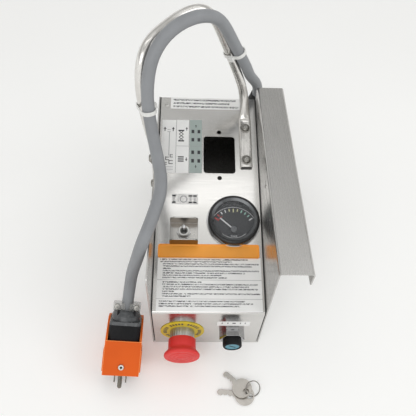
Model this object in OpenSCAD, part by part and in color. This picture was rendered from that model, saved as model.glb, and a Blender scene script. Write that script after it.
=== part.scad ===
// Control box for a small scissor lift: stainless sheet box with a sloping panel between two
// tall side plates, a hook channel to hang it on a rail, a hoop handle and a plug lead.
// X runs to the right, Y to the back, Z up. The origin is the middle of the base.

/* [Box] */
// Width over the two side plates
box_w = 127; // [120:1:140]
// Length from the front face to the back face
box_l = 272; // [262:1:300]
// Height of the right side plate, up to the top of the hook channel
side_h = 168; // [164:1:180]
// Height of the left side plate
left_side_h = 152; // [150:1:164]
// Height of the front face, where the panel folds
front_h = 82; // [80:1:88]
// Height of the panel at the back
back_h = 150; // [144:1:156]
// Thickness of every stainless sheet
sheet_t = 1.5; // [1.2:0.1:2]
// Inside radius of the sheet bends
bend_r = 1.5; // [1:0.5:3]
// Width of the rubber seal on each edge of the panel
seal_w = 1.2; // [0.8:0.1:1.6]
// Height of the flanges of the base pan
pan_flange_h = 16; // [10:1:24]
// Radius of the free corners of the left side plate
plate_corner_r = 5; // [2:1:10]

/* [Hook channel] */
// Reach of the hook channel beyond the side plate
hook_w = 33; // [28:1:40]
// Depth of the outer lip of the hook channel
hook_drop = 20; // [14:1:30]
// Diameter of the locking hole under the channel
lock_hole_d = 8.5; // [6:0.5:10]
// Distance of the locking hole in front of the middle of the box
lock_hole_forward = 13; // [0:1:40]
// Distance of the locking hole below the top of the plate
lock_hole_down = 16.5; // [14:0.5:30]

/* [Joystick opening] */
// Width of the joystick opening
joy_w = 39; // [34:1:42]
// Length of the joystick opening along the slope
joy_l = 52; // [46:1:54]
// Corner radius of the joystick opening
joy_r = 4; // [2:0.5:8]
// Spacing of the two joystick screw holes
joy_screw_pitch = 64.8; // [62:0.2:68]
// Diameter of the joystick screw holes
joy_screw_d = 5.5; // [4:0.5:6]
// Distance of the opening right of the middle
joy_x = 13.6; // [10:0.2:15]
// Distance of the opening up the slope from the fold
joy_s = 194.8; // [190:0.2:200]

/* [Stop button] */
// Distance of the stop button left of the middle
stop_left = 28.4; // [26:0.2:30]
// Height of the stop button and the key switch
control_z = 35; // [32:1:38]
// Diameter of the yellow ring
stop_ring_d = 50; // [44:1:52]
// Thickness of the yellow ring
stop_ring_t = 1; // [0.8:0.1:1.5]
// Diameter of the threaded sleeve
stop_sleeve_d = 22; // [20:0.5:23]
// Diameter of the ring nut
stop_nut_d = 27.8; // [26:0.2:28]
// Height of the ring nut
stop_nut_h = 10; // [8:0.5:11]
// Outer diameter of the neck of the button
stop_neck_d = 31; // [30.6:0.2:33]
// Diameter of the button's head
stop_head_d = 40; // [38:1:44]
// Length of the button from the edge of its neck to its face
stop_head_l = 21; // [19:0.5:24]
// Stroke of the button
stop_stroke = 4; // [3:0.5:4.5]
// Diameter of the sliding stem
stop_stem_d = 10; // [8:0.5:11]

/* [Key switch] */
// Distance of the key switch right of the middle
key_sw_right = 28.4; // [26:0.2:31]
// Width across the flats of the hexagon nut
key_nut_af = 25; // [23:0.5:27]
// Height of the hexagon nut
key_nut_h = 11; // [8:0.5:12]
// Diameter of the black collar
key_collar_d = 21.3; // [20:0.1:22]
// Height of the black collar
key_collar_h = 8.5; // [7:0.5:10]
// Diameter of the turning lock core
key_core_d = 16; // [14:0.5:17]
// Diameter of the threaded barrel
key_barrel_d = 19; // [18:0.5:20]

/* [Gauge] */
// Distance of the gauge right of the middle
gauge_x = 29; // [27:0.5:29]
// Distance of the gauge up the slope from the fold
gauge_s = 106.2; // [104:0.2:112]
// Diameter of the bezel
gauge_d = 60; // [56:1:61]
// Height of the bezel above the panel
gauge_h = 9; // [8:0.5:12]
// Diameter of the can behind the panel
gauge_can_d = 52; // [50:0.5:53]
// Depth of the can behind the panel
gauge_depth = 42; // [36:1:48]
// Diameter of the window in the bezel
gauge_window_d = 47; // [44:0.5:48]
// Distance of the needle's pivot below the middle of the dial
needle_drop = 11; // [8:0.5:12]
// Length of the needle from its pivot
needle_l = 21; // [18:0.5:22]
// Angle of the needle at rest, from the right-hand side
needle_rest = 138; // [130:1:140]

/* [Toggle switch] */
// Distance of the toggle switch left of the middle
toggle_left = 28.3; // [26:0.2:30]
// Distance of the toggle switch up the slope from the fold
toggle_s = 90.7; // [86:0.2:96]
// Width of the guard
guard_w = 32; // [28:1:34]
// Length of the guard along the slope
guard_l = 27.4; // [24:0.2:30]
// Height of the guard's ears
guard_h = 17; // [14:0.5:20]
// Corner radius of the guard's ears
guard_r = 6; // [3:0.5:8]
// Diameter of the threaded bushing
bushing_d = 11.9; // [11:0.1:12.5]
// Height of the bushing above the guard
bushing_h = 8; // [6:0.5:9]
// Reach of the lever's tip above the guard
lever_h = 22; // [18:0.5:24]
// Swing of the lever to each side
lever_swing = 13; // [8:1:15]

/* [Handle] */
// Outer diameter of the handle tube
tube_d = 11; // [10:0.2:11.2]
// Width of the flattened ends
flat_w = 15; // [14:0.5:16]
// Thickness of the flattened ends
flat_t = 4; // [3:0.2:4.4]
// Spacing of the two screws in each flattened end
foot_pitch = 45.4; // [40:0.2:48]
// Length of a flattened end beyond its outer screw
foot_end = 9.5; // [8:0.5:12]
// Distance of the left foot behind the middle of the box
left_foot_y = 32; // [24:1:36]
// Height of the lower screw of the left foot
left_foot_z = 97.6; // [90:0.2:98]
// Distance of the right foot right of the middle
right_foot_x = 46.5; // [44:0.5:48]
// Distance of the front screw of the right foot up the slope
right_foot_s = 185.9; // [180:0.5:192]
// Height of the top of the handle above the base
handle_h = 291; // [280:1:300]
// Diameter of the handle screws
foot_screw_d = 6; // [5:0.5:6.5]
// Diameter of the heads of the handle screws
foot_head_d = 10; // [9:0.5:12]

/* [Lead] */
// Diameter of the lead
cable_d = 13; // [12:0.2:13]
// Width and height of the plug's body
plug_w = 33.4; // [31:0.2:33.6]
// Length of the plug's body
plug_l = 54; // [50:1:56]
// Length of the cap behind the body
plug_cap_l = 11; // [9:0.5:13]
// Length of the cord clamp behind the cap
plug_clamp_l = 8; // [6:0.5:10]
// Distance between the two flat blades
blade_pitch = 12.7; // [12.7:0.1:12.8]
// Length of the flat blades
blade_l = 17.5; // [16:0.5:18]
// Outer width of the orange sleeve
sleeve_w = 39.4; // [39:0.2:43]
// Outer height of the orange sleeve
sleeve_h = 38.8; // [38.8:0.2:40]
// Wall of the orange sleeve
sleeve_t = 2.4; // [2:0.1:2.5]
// Reach of the sleeve in front of the plug's face
sleeve_front = 3; // [2:0.5:6]
// Length of the sleeve's top face
sleeve_top_l = 37.4; // [34:0.2:42]

/* [Keys] */
// Diameter of a key's bow
bow_d = 22; // [20:1:24]
// Thickness of a key
key_t = 1.7; // [1.4:0.1:1.8]
// Width of a key's blade
key_blade_w = 6.6; // [6:0.2:7.5]
// Radius of the key ring
ring_r = 8.6; // [8.4:0.1:9]
// Thickness of the key ring's wire
ring_wire_d = 1.2; // [1:0.1:1.4]

/* [Hidden] */

$fn = 48;
// Overrun of every cut
cut = 1;
// Running clearance on each side of a turning or sliding piece
run = 0.05;
// Free clearance between pieces that only pass each other
free = 0.3;
slope = atan((back_h - front_h) / box_l);
panel_len = box_l / cos(slope);
inner_w = box_w - 2 * sheet_t;
panel_w = inner_w - 2 * seal_w;
bend_o = bend_r + sheet_t;
fold_turn = 90 - slope;
fold_run = bend_o * tan(fold_turn / 2);
hook_x = box_w / 2 + hook_w;
// Front of the box and of the panel's slope
front_y = -box_l / 2;

// Stop button
stop_back_t = 4;
stop_back_d = 29;
stop_hole_d = stop_sleeve_d + 2 * free;
stop_nut_top = stop_ring_t + stop_nut_h;
stop_neck_bore = stop_nut_d + 2 * free;
stop_recess = stop_stroke + 2;
stop_socket = 10;
stop_stem_back = stop_stroke + 12;
stop_block_w = 30;
stop_block_l = 36;
stop_ridges = 24;
stop_ridge_d = 1.6;
stop_base = stop_nut_top + free;
stop_taper_share = 0.45;
stop_rim_share = 0.8;
stop_dome = 1.6;

// Key switch
key_hole_d = key_barrel_d + 2 * free;
key_rim = 1.2;
key_core_sink = 0.6;
key_slot_w = 1.8;
key_slot_l = 9;
key_slot_deep = 6;
key_slot_rest = -32;
key_block_d = 25;
key_block_l = 30;
key_flange_t = 2.5;

// Gauge
gauge_hole_d = gauge_can_d + 2 * free;
gauge_wall = 1.2;
gauge_floor = 0.6;
dial_t = 0.8;
lens_t = 1.6;
lens_gap = 4;
lens_z = gauge_floor + dial_t + lens_gap;
bezel_lip = 1;
bezel_round = 2.4;
spindle_d = 1.6;
needle_z = gauge_floor + dial_t + 1;
needle_t = 0.8;
hub_d = 8;
hub_t = 1.8;
needle_tip_w = 0.8;
needle_root_w = 1.6;
stud_d = 4;
stud_l = 14;
stud_x = 13;
clamp_w = 16;
clamp_t = 2;
clamp_foot = 9;
nut_af = 7;
nut_t = 3.2;

// Toggle switch
toggle_body_w = 15;
toggle_body_l = 28;
toggle_body_h = 24;
toggle_nut_af = 14;
toggle_nut_h = 2.4;
lever_pivot = 3.5;
lever_ball_d = 6;
lever_drum_d = 5.6;
lever_neck_d = 2.8;
lever_tip_d = 5;
bushing_bore = lever_ball_d + 2 * run;
bushing_mouth = 8.6;
lug_w = 5;
lug_t = 0.8;
lug_l = 7;

// Handle
tube_sides = 16;
head_t = 3.4;
head_top_share = 0.7;
foot_hole_d = foot_screw_d + 2 * free;
washer_d = 13;
washer_t = 1.2;
foot_nut_af = 10;
foot_nut_t = 4;
side_screw_y = -20;
side_screw_z = 123;
// Reach of the right foot's straight part beyond its back screw, as a share of the screws' spacing
foot_lead = 1.2;
// Spans of the handle's curve that lie in the left foot and in the right foot
left_spans = 4;
right_spans = 5.2;
// Spans over which the tube goes from flat to round
flat_spans = 1.6;
// Spans at each end along which the section keeps the direction of its foot
left_hold = 5;
right_hold = 6;
// Places of the hoop between its feet, as shares of the box's width, its length and the height
// of the handle
hoop_share = [
    [-0.522, 0.118, 0.607], [-0.555, 0.118, 0.698], [-0.579, 0.119, 0.790],
    [-0.583, 0.125, 0.880], [-0.559, 0.154, 0.948], [-0.500, 0.213, 0.976],
    [-0.394, 0.301, 0.973], [-0.276, 0.371, 0.978], [-0.165, 0.401, 0.986],
    [-0.063, 0.417, 0.978], [0.012, 0.430, 0.938], [0.079, 0.438, 0.873],
    [0.157, 0.441, 0.797], [0.236, 0.441, 0.715], [0.307, 0.441, 0.639],
    [0.350, 0.439, 0.577]
];

// Lead: the route of its middle line, from the elbow on the rear cover to the plug
route = [
    [56, 154, 117], [63.3, 154, 129.7], [66.5, 151.5, 148], [63.5, 145.5, 166], [56, 136, 180],
    [48.5, 126, 194], [43, 119, 210.5], [34.5, 115, 227], [26, 111.5, 244], [18, 107, 260.5],
    [10, 100.5, 277], [0.5, 91, 290], [-12, 78.5, 298], [-26.5, 66, 301], [-41, 53.5, 298.5],
    [-53.5, 43, 289.5], [-61.5, 33, 276.5], [-65, 26.5, 260], [-66.5, 22.5, 242],
    [-65.5, 17.5, 225], [-62.5, 7.5, 210.5], [-58.5, -7, 200.5], [-54.5, -24, 194],
    [-51, -41.5, 190.5], [-51.5, -59, 187], [-56.5, -75.5, 181.5], [-62.5, -89.5, 171.5],
    [-69.5, -98.5, 157], [-74.5, -102, 138.5], [-79.5, -101, 118.5], [-84, -99.5, 98.5],
    [-87, -103.5, 79.5], [-89.9, -113.9, 64.3], [-91.1, -125.6, 55.6]
];
cable_sides = 12;
rings_per_span = 1;
elbow_out = 26;
elbow_d = 20;
elbow_nut_d = 26;
elbow_nut_l = 12;
elbow_flange_d = 28;
elbow_flange_t = 3;
elbow_thread_d = 20;
elbow_thread_l = 12;
locknut_af = 24;
locknut_t = 4;
tie_band = 1.2;
tie_w = 4;
tie_gap = 0.6;
tie_step = 0.002;
tie_head = 6;
// Places of the two ties along the handle's and the lead's middle lines
tie_right_share = [0.634, 0.223];
tie_left_share = [0.25, 0.5735];

// Plug
plug_r = 4;
plug_roll = 9;
cap_d = 32;
cap_end_d = 24;
clamp_bar_w = 30;
clamp_bar_t = 7;
clamp_screw_d = 4;
clamp_screw_x = 10.5;
clamp_head_d = 6.4;
blade_w = 6.3;
blade_t = 1.5;
earth_d = 4.8;
earth_l = 20.5;
blade_y = 4;
earth_y = -7.9;
sleeve_ear_l = 21;
sleeve_ear_share = 0.42;
sleeve_tab_w = 1.6;
sleeve_tab_l = 24;
sleeve_tab_h = 26;
sleeve_screw_d = 4;
sleeve_head_d = 7;
sleeve_head_top_d = 5.6;
sleeve_socket_d = 2.4;
sleeve_screw_z = 6.6;

// Terminal block
block_l = 62;
block_w = 20;
block_h = 24;
block_y = 58;
block_poles = 6;
block_slot = 1.4;
block_floor_h = 17;
block_row = 4.4;
block_screw_d = 5;
block_screw_h = 3;

// Keys
bow_hole_d = 6.8;
bow_hole_in = 6;
key_long_l = 37;
key_short_l = 33;
key_notches = 5;
key_notch_share = [0.30, 0.16, 0.38, 0.22, 0.30];
ring_tilt = 35;
ring_turn = -154;
ring_x = 52.5;
ring_y = front_y - 56.5;
long_hole_angle = -44;
short_hole_angle = 5;
long_heading = 172;
short_heading = 136.7;
key_lift = 0.1;

// Rotation matrix helpers
function unit(v) = v / norm(v);
function blend_pts(a, b, t) = a * (1 - t) + b * t;

// One point of a uniform cubic curve through control points p, at span i and share t
function curve_at(p, i, t) =
    let (
        a = (1 - t) * (1 - t) * (1 - t),
        b = 3 * t * t * t - 6 * t * t + 4,
        c = -3 * t * t * t + 3 * t * t + 3 * t + 1,
        d = t * t * t
    ) (a * p[i] + b * p[i + 1] + c * p[i + 2] + d * p[i + 3]) / 6;

// The control points with one point added past each end, so that the curve meets both ends
function padded(p) = concat([2 * p[0] - p[1]], p, [2 * p[len(p) - 1] - p[len(p) - 2]]);
function curve_points(p, n) =
    let (q = padded(p))
    concat(
        [for (i = [0 : len(p) - 2], k = [0 : n - 1]) curve_at(q, i, k / n)],
        [p[len(p) - 1]]
    );
function curve_share(p, s) =
    let (q = padded(p), u = s * (len(p) - 1), i = min(floor(u), len(p) - 2))
    curve_at(q, i, u - i);
function tangents(c) = [
    for (i = [0 : len(c) - 1])
        unit(c[min(i + 1, len(c) - 1)] - c[max(i - 1, 0)])
];

// Normals carried along a path by turning each one as little as possible
function carry(t, i, n) =
    i == len(t) - 1 ? [n] :
    let (m = n - (n * t[i + 1]) * t[i + 1])
    concat([n], carry(t, i + 1, unit(m)));

// Closed skin over rings of equal size
module skin(rings) {
    m = len(rings[0]);
    k = len(rings);
    pts = [for (r = rings, p = r) p];
    sides = [
        for (i = [0 : k - 2], j = [0 : m - 1])
            let (a = i * m + j, b = i * m + (j + 1) % m)
            each [[a, b, b + m], [a, b + m, a + m]]
    ];
    start = [for (j = [1 : m - 2]) [0, j + 1, j]];
    end = [for (j = [1 : m - 2]) [(k - 1) * m, (k - 1) * m + j, (k - 1) * m + j + 1]];
    polyhedron(pts, concat(sides, start, end), convexity = 10);
}

// Children stand on the sloping panel, x right of the middle and s up the slope from the fold
module on_panel(x, s) {
    translate([x, front_y, front_h]) rotate([slope, 0, 0]) translate([0, s, 0]) children();
}

// Children point out of the front face
module on_front(x, z) {
    translate([x, front_y, z]) rotate([90, 0, 0]) children();
}

// Children point out of the left side plate
module on_left(y, z) {
    translate([-box_w / 2, y, z]) rotate([0, -90, 0]) children();
}

// Children stand on an axis from point a towards point b
module on_axis(a, b) {
    d = unit(b - a);
    translate(a) rotate([0, acos(d[2]), atan2(d[1], d[0])]) children();
}

module rounded_rect(w, l, r) {
    square([w - 2 * r, l], center = true);
    square([w, l - 2 * r], center = true);
    for (x = [-1, 1], y = [-1, 1])
        translate([x * (w / 2 - r), y * (l / 2 - r)]) circle(r);
}

module hexagon(af, h) {
    cylinder(d = af / cos(30), h = h, $fn = 6);
}

module tube(d, bore, h) {
    difference() {
        cylinder(d = d, h = h);
        translate([0, 0, -cut]) cylinder(d = bore, h = h + 2 * cut);
    }
}

// Quarter ring of a sheet bend, in the quadrant given by the signs sx and sy
module bend_quarter(sx, sy) {
    difference() {
        intersection() {
            circle(bend_o);
            translate([sx < 0 ? -bend_o : 0, sy < 0 ? -bend_o : 0]) square(bend_o);
        }
        circle(bend_r);
    }
}

// Box

module pan_profile() {
    half = inner_w / 2;
    translate([-half + bend_o, 0]) square([inner_w - 2 * bend_o, sheet_t]);
    for (s = [-1, 1]) {
        translate([s * (half - bend_o), bend_o]) bend_quarter(s, -1);
        translate([s > 0 ? half - sheet_t : -half, bend_o])
            square([sheet_t, pan_flange_h - bend_o]);
    }
}

module base_pan() {
    color("silver")
    translate([0, box_l / 2 - sheet_t, 0]) rotate([90, 0, 0])
        linear_extrude(box_l - 2 * sheet_t) pan_profile();
}

module left_side_plate() {
    color("silver")
    difference() {
        translate([-box_w / 2, 0, 0]) rotate([90, 0, 90]) linear_extrude(sheet_t)
            difference() {
                translate([front_y, 0]) square([box_l, left_side_h]);
                for (s = [-1, 1])
                    translate([s * box_l / 2, left_side_h]) difference() {
                        square(2 * plate_corner_r, center = true);
                        translate([-s * plate_corner_r, -plate_corner_r]) circle(plate_corner_r);
                    }
            }
        for (k = [0, 1])
            on_left(left_foot_y, left_foot_z + k * foot_pitch)
                panel_hole(foot_hole_d);
        on_left(side_screw_y, side_screw_z) panel_hole(foot_hole_d);
    }
}

module hook_profile() {
    wall_x = box_w / 2 - sheet_t;
    translate([wall_x, 0]) square([sheet_t, side_h - bend_o]);
    translate([box_w / 2 + bend_r, side_h - bend_o]) bend_quarter(-1, 1);
    translate([box_w / 2 + bend_r, side_h - sheet_t])
        square([hook_w - bend_r - bend_o, sheet_t]);
    translate([hook_x - bend_o, side_h - bend_o]) bend_quarter(1, 1);
    translate([hook_x - sheet_t, side_h - hook_drop]) square([sheet_t, hook_drop - bend_o]);
}

module right_side_plate() {
    color("silver")
    difference() {
        translate([0, box_l / 2, 0]) rotate([90, 0, 0]) linear_extrude(box_l) hook_profile();
        translate([box_w / 2 - sheet_t - cut, -lock_hole_forward, side_h - lock_hole_down])
            rotate([0, 90, 0]) cylinder(d = lock_hole_d, h = sheet_t + 2 * cut);
    }
}

module fold_sector() {
    difference() {
        intersection() {
            circle(bend_o);
            polygon([
                [0, 0], [-2 * bend_o, 0], [-2 * bend_o, 2 * bend_o],
                2 * bend_o * [-sin(slope), cos(slope)]
            ]);
        }
        circle(bend_r);
    }
}

module panel_profile() {
    translate([front_y, 0]) square([sheet_t, front_h - fold_run]);
    translate([front_y + bend_o, front_h - fold_run]) fold_sector();
    translate([front_y, front_h]) rotate(slope)
        translate([fold_run, -sheet_t]) square([panel_len - fold_run - sheet_t, sheet_t]);
}

module control_panel() {
    color("gainsboro")
    difference() {
        translate([-panel_w / 2, 0, 0]) rotate([90, 0, 90]) linear_extrude(panel_w)
            panel_profile();
        on_panel(joy_x, joy_s) translate([0, 0, -sheet_t - cut])
            linear_extrude(sheet_t + 2 * cut) rounded_rect(joy_w, joy_l, joy_r);
        for (s = [-1, 1])
            on_panel(joy_x, joy_s + s * joy_screw_pitch / 2)
                panel_hole(joy_screw_d);
        for (k = [0, 1])
            on_panel(right_foot_x, right_foot_s + k * foot_pitch) panel_hole(foot_hole_d);
        on_panel(gauge_x, gauge_s) panel_hole(gauge_hole_d);
        on_panel(-toggle_left, toggle_s) panel_hole(bushing_d + 2 * free);
        on_front(-stop_left, control_z) panel_hole(stop_hole_d);
        on_front(key_sw_right, control_z) panel_hole(key_hole_d);
    }
}

module panel_hole(d) {
    translate([0, 0, -sheet_t - cut]) cylinder(d = d, h = sheet_t + 2 * cut);
}

module panel_seals() {
    color("black")
    for (s = [-1, 1])
        translate([s > 0 ? panel_w / 2 : -inner_w / 2, 0, 0])
            rotate([90, 0, 90]) linear_extrude(seal_w) intersection() {
                panel_profile();
                translate([front_y, pan_flange_h]) square([box_l, side_h]);
            }
}

module rear_cover() {
    top = back_h - sheet_t / cos(slope) - sheet_t * tan(slope) - free;
    color("silver")
    difference() {
        translate([-inner_w / 2, box_l / 2 - sheet_t, 0]) cube([inner_w, sheet_t, top]);
        translate([elbow_corner()[0], box_l / 2 - sheet_t - cut, elbow_corner()[2]])
            rotate([-90, 0, 0]) cylinder(d = elbow_thread_d + 2 * free, h = sheet_t + 2 * cut);
    }
}

// Stop button

module stop_ring() {
    color("gold")
    on_front(-stop_left, control_z) tube(stop_ring_d, stop_hole_d, stop_ring_t);
}

module stop_sleeve() {
    color("silver")
    on_front(-stop_left, control_z) difference() {
        union() {
            translate([0, 0, -sheet_t - stop_back_t]) cylinder(d = stop_back_d, h = stop_back_t);
            translate([0, 0, -sheet_t]) cylinder(d = stop_sleeve_d, h = sheet_t + stop_nut_top);
        }
        translate([0, 0, -sheet_t - stop_back_t - cut])
            cylinder(d = stop_stem_d + 2 * run, h = sheet_t + stop_back_t + stop_nut_top + 2 * cut);
    }
}

module stop_ring_nut() {
    color("gray")
    on_front(-stop_left, control_z) translate([0, 0, stop_ring_t]) difference() {
        tube(stop_nut_d, stop_sleeve_d, stop_nut_h);
        for (k = [0 : stop_ridges - 1])
            rotate(k * 360 / stop_ridges) translate([stop_nut_d / 2 + stop_ridge_d / 4, 0, -cut])
                cylinder(d = stop_ridge_d, h = stop_nut_h + 2 * cut, $fn = 16);
    }
}

module stop_stem() {
    color("dimgray")
    on_front(-stop_left, control_z) translate([0, 0, -sheet_t - stop_stem_back + stop_stroke])
        cylinder(
            d = stop_stem_d,
            h = sheet_t + stop_stem_back - stop_stroke + stop_base + stop_recess + stop_socket
        );
}

// The button is turned: straight neck, hollow flare, rounded rim and a slightly domed face
module stop_button() {
    taper = stop_head_l * stop_taper_share;
    rim = stop_head_l * stop_rim_share;
    r_neck = stop_neck_d / 2;
    r_head = stop_head_d / 2;
    flare = [
        for (k = [0 : 6])
            let (t = k / 6) [
                r_neck + (r_head - r_neck) * t * t,
                stop_base + taper + (rim - taper) * t
            ]
    ];
    round_rim = [
        for (k = [1 : 5])
            let (a = k * 18, h = stop_head_l - rim - stop_dome) [
                r_head - h * (1 - cos(a)),
                stop_base + rim + h * sin(a)
            ]
    ];
    color("red")
    on_front(-stop_left, control_z) difference() {
        rotate_extrude($fn = 72) polygon(concat(
            [[0, stop_base], [r_neck, stop_base]], flare, round_rim,
            [[r_head / 2, stop_base + stop_head_l - stop_dome / 4], [0, stop_base + stop_head_l]]
        ));
        translate([0, 0, stop_base - cut]) cylinder(d = stop_neck_bore, h = stop_recess + cut);
        translate([0, 0, stop_base]) cylinder(
            d = stop_stem_d + 2 * run, h = stop_recess + stop_socket + run
        );
    }
}

module stop_contact_block() {
    color("darkgreen")
    on_front(-stop_left, control_z) translate([0, 0, -sheet_t - stop_back_t]) difference() {
        translate([-stop_block_w / 2, -stop_block_w / 2, -stop_block_l])
            cube([stop_block_w, stop_block_w, stop_block_l]);
        translate([0, 0, -stop_stem_back])
            cylinder(d = stop_stem_d + 2 * free, h = stop_stem_back + cut);
        for (s = [-1, 1])
            translate([s * stop_block_w / 2, 0, -stop_block_l + stop_back_t])
                cube([stop_back_t, stop_block_w / 2, stop_back_t], center = true);
    }
}

// Key switch

module key_switch_nut() {
    color("silver")
    on_front(key_sw_right, control_z) difference() {
        hexagon(key_nut_af, key_nut_h);
        translate([0, 0, -cut]) cylinder(d = key_barrel_d, h = key_nut_h + 2 * cut);
    }
}

module key_switch_barrel() {
    color("gray")
    on_front(key_sw_right, control_z) difference() {
        union() {
            translate([0, 0, -sheet_t]) cylinder(d = key_barrel_d, h = sheet_t + key_nut_h);
            translate([0, 0, -sheet_t - key_flange_t])
                cylinder(d = key_block_d, h = key_flange_t);
        }
        translate([0, 0, -sheet_t - key_flange_t - cut]) cylinder(
            d = key_core_d + 2 * run, h = sheet_t + key_flange_t + key_nut_h + 2 * cut
        );
    }
}

module key_switch_collar() {
    color("black")
    on_front(key_sw_right, control_z) translate([0, 0, key_nut_h]) difference() {
        rotate_extrude() polygon([
            [key_core_d / 2 + run, 0], [key_collar_d / 2, 0],
            [key_collar_d / 2, key_collar_h - key_rim],
            [key_collar_d / 2 - key_rim, key_collar_h],
            [key_core_d / 2 + run, key_collar_h]
        ]);
    }
}

module key_switch_core() {
    top = key_nut_h + key_collar_h - key_core_sink;
    color("deepskyblue")
    on_front(key_sw_right, control_z) difference() {
        translate([0, 0, -sheet_t - key_flange_t])
            cylinder(d = key_core_d, h = sheet_t + key_flange_t + top);
        translate([0, 0, top - key_slot_deep / 2 + cut / 2]) rotate(key_slot_rest)
            cube([key_slot_l, key_slot_w, key_slot_deep + cut], center = true);
    }
}

module key_contact_block() {
    color("black")
    on_front(key_sw_right, control_z) translate([0, 0, -sheet_t - key_flange_t - key_block_l]) {
        cylinder(d = key_block_d, h = key_block_l);
        for (s = [-1, 1])
            translate([s * key_block_d / 4, 0, -lug_l / 2])
                cube([lug_t, lug_w, lug_l], center = true);
    }
}

// Gauge

module gauge_can() {
    color("dimgray")
    on_panel(gauge_x, gauge_s) {
        translate([0, 0, -gauge_depth]) cylinder(d = gauge_can_d, h = gauge_depth + gauge_floor);
        translate([0, 0, gauge_floor])
            tube(gauge_can_d, gauge_can_d - 2 * gauge_wall, lens_z - gauge_floor);
        for (s = [-1, 1])
            translate([s * stud_x, 0, -gauge_depth - stud_l]) cylinder(d = stud_d, h = stud_l);
    }
}

module gauge_bezel() {
    color("black")
    on_panel(gauge_x, gauge_s) rotate_extrude($fn = 96) difference() {
        union() {
            translate([gauge_can_d / 2 + run, 0])
                square([gauge_d / 2 - gauge_can_d / 2 - run, gauge_h - bezel_round]);
            translate([gauge_window_d / 2, lens_z + lens_t])
                square([gauge_d / 2 - bezel_round - gauge_window_d / 2,
                    gauge_h - lens_z - lens_t]);
            translate([gauge_can_d / 2 + run, lens_z])
                square([gauge_d / 2 - bezel_round - gauge_can_d / 2 - run, lens_t]);
            translate([gauge_d / 2 - bezel_round, gauge_h - bezel_round]) intersection() {
                circle(bezel_round);
                square(bezel_round);
            }
        }
        translate([gauge_window_d / 2, gauge_h]) rotate(45)
            square(bezel_lip * sqrt(2), center = true);
    }
}

module gauge_dial() {
    color("black")
    on_panel(gauge_x, gauge_s) translate([0, 0, gauge_floor]) difference() {
        cylinder(d = gauge_can_d - 2 * gauge_wall - 2 * run, h = dial_t);
        translate([0, -needle_drop, -cut]) cylinder(d = spindle_d, h = dial_t + 2 * cut);
    }
}

module gauge_spindle() {
    color("silver")
    on_panel(gauge_x, gauge_s) translate([0, -needle_drop, gauge_floor])
        cylinder(d = spindle_d, h = needle_z + hub_t / 2 - gauge_floor);
}

module gauge_needle() {
    color("white")
    on_panel(gauge_x, gauge_s) translate([0, -needle_drop, needle_z]) difference() {
        union() {
            cylinder(d = hub_d, h = hub_t);
            rotate(needle_rest) linear_extrude(needle_t) polygon([
                [0, -needle_root_w / 2], [needle_l, -needle_tip_w / 2],
                [needle_l, needle_tip_w / 2], [0, needle_root_w / 2]
            ]);
        }
        translate([0, 0, -cut])
            cylinder(d = spindle_d + 2 * run, h = hub_t / 2 + cut + run);
    }
}

module gauge_lens() {
    color("lightblue", 0.3)
    on_panel(gauge_x, gauge_s) translate([0, 0, lens_z])
        cylinder(d = gauge_can_d - 2 * run, h = lens_t);
}

module gauge_clamp() {
    leg_x = gauge_can_d / 2 + clamp_t;
    color("silver")
    on_panel(gauge_x, gauge_s) difference() {
        union() {
            translate([-leg_x - clamp_t, -clamp_w / 2, -gauge_depth - clamp_t])
                cube([2 * leg_x + 2 * clamp_t, clamp_w, clamp_t]);
            for (s = [-1, 1])
                translate([s > 0 ? leg_x : -leg_x - clamp_t, -clamp_w / 2, -gauge_depth])
                    cube([clamp_t, clamp_w, gauge_depth - sheet_t]);
        }
        for (s = [-1, 1])
            translate([s * stud_x, 0, -gauge_depth - clamp_t - cut])
                cylinder(d = stud_d, h = clamp_t + 2 * cut);
    }
}

module gauge_clamp_nuts() {
    color("goldenrod")
    on_panel(gauge_x, gauge_s) for (s = [-1, 1])
        translate([s * stud_x, 0, -gauge_depth - clamp_t - nut_t]) difference() {
            hexagon(nut_af, nut_t);
            translate([0, 0, -cut]) cylinder(d = stud_d, h = nut_t + 2 * cut);
        }
}

// Toggle switch

module ear_profile() {
    translate([-guard_w / 2, 0]) square([guard_w, guard_h - guard_r]);
    translate([-guard_w / 2 + guard_r, 0]) square([guard_w - 2 * guard_r, guard_h]);
    for (s = [-1, 1])
        translate([s * (guard_w / 2 - guard_r), guard_h - guard_r]) circle(guard_r);
}

module toggle_guard() {
    color("silver")
    on_panel(-toggle_left, toggle_s) difference() {
        union() {
            translate([-guard_w / 2, -guard_l / 2, 0]) cube([guard_w, guard_l, sheet_t]);
            for (s = [-1, 1])
                translate([0, s > 0 ? guard_l / 2 : -guard_l / 2 + sheet_t, 0])
                    rotate([90, 0, 0]) linear_extrude(sheet_t) ear_profile();
        }
        translate([0, 0, -cut]) cylinder(d = bushing_d + 2 * free, h = sheet_t + 2 * cut);
    }
}

module toggle_switch() {
    color("silver")
    on_panel(-toggle_left, toggle_s) difference() {
        union() {
            translate([0, 0, -sheet_t]) cylinder(d = bushing_d, h = 2 * sheet_t + bushing_h);
            translate([-toggle_body_l / 2, -toggle_body_w / 2, -sheet_t - toggle_body_h])
                cube([toggle_body_l, toggle_body_w, toggle_body_h]);
            for (k = [-1, 0, 1])
                translate([k * toggle_body_l / 3, 0, -sheet_t - toggle_body_h - lug_l / 2])
                    cube([lug_t, lug_w, lug_l], center = true);
        }
        translate([0, 0, lever_pivot - lever_ball_d / 2 - free])
            cylinder(d = bushing_bore, h = sheet_t + bushing_h);
        translate([0, 0, lever_pivot + lever_ball_d / 2]) cylinder(
            d1 = bushing_bore, d2 = bushing_mouth,
            h = sheet_t + bushing_h - lever_pivot - lever_ball_d / 2 + run
        );
    }
}

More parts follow.
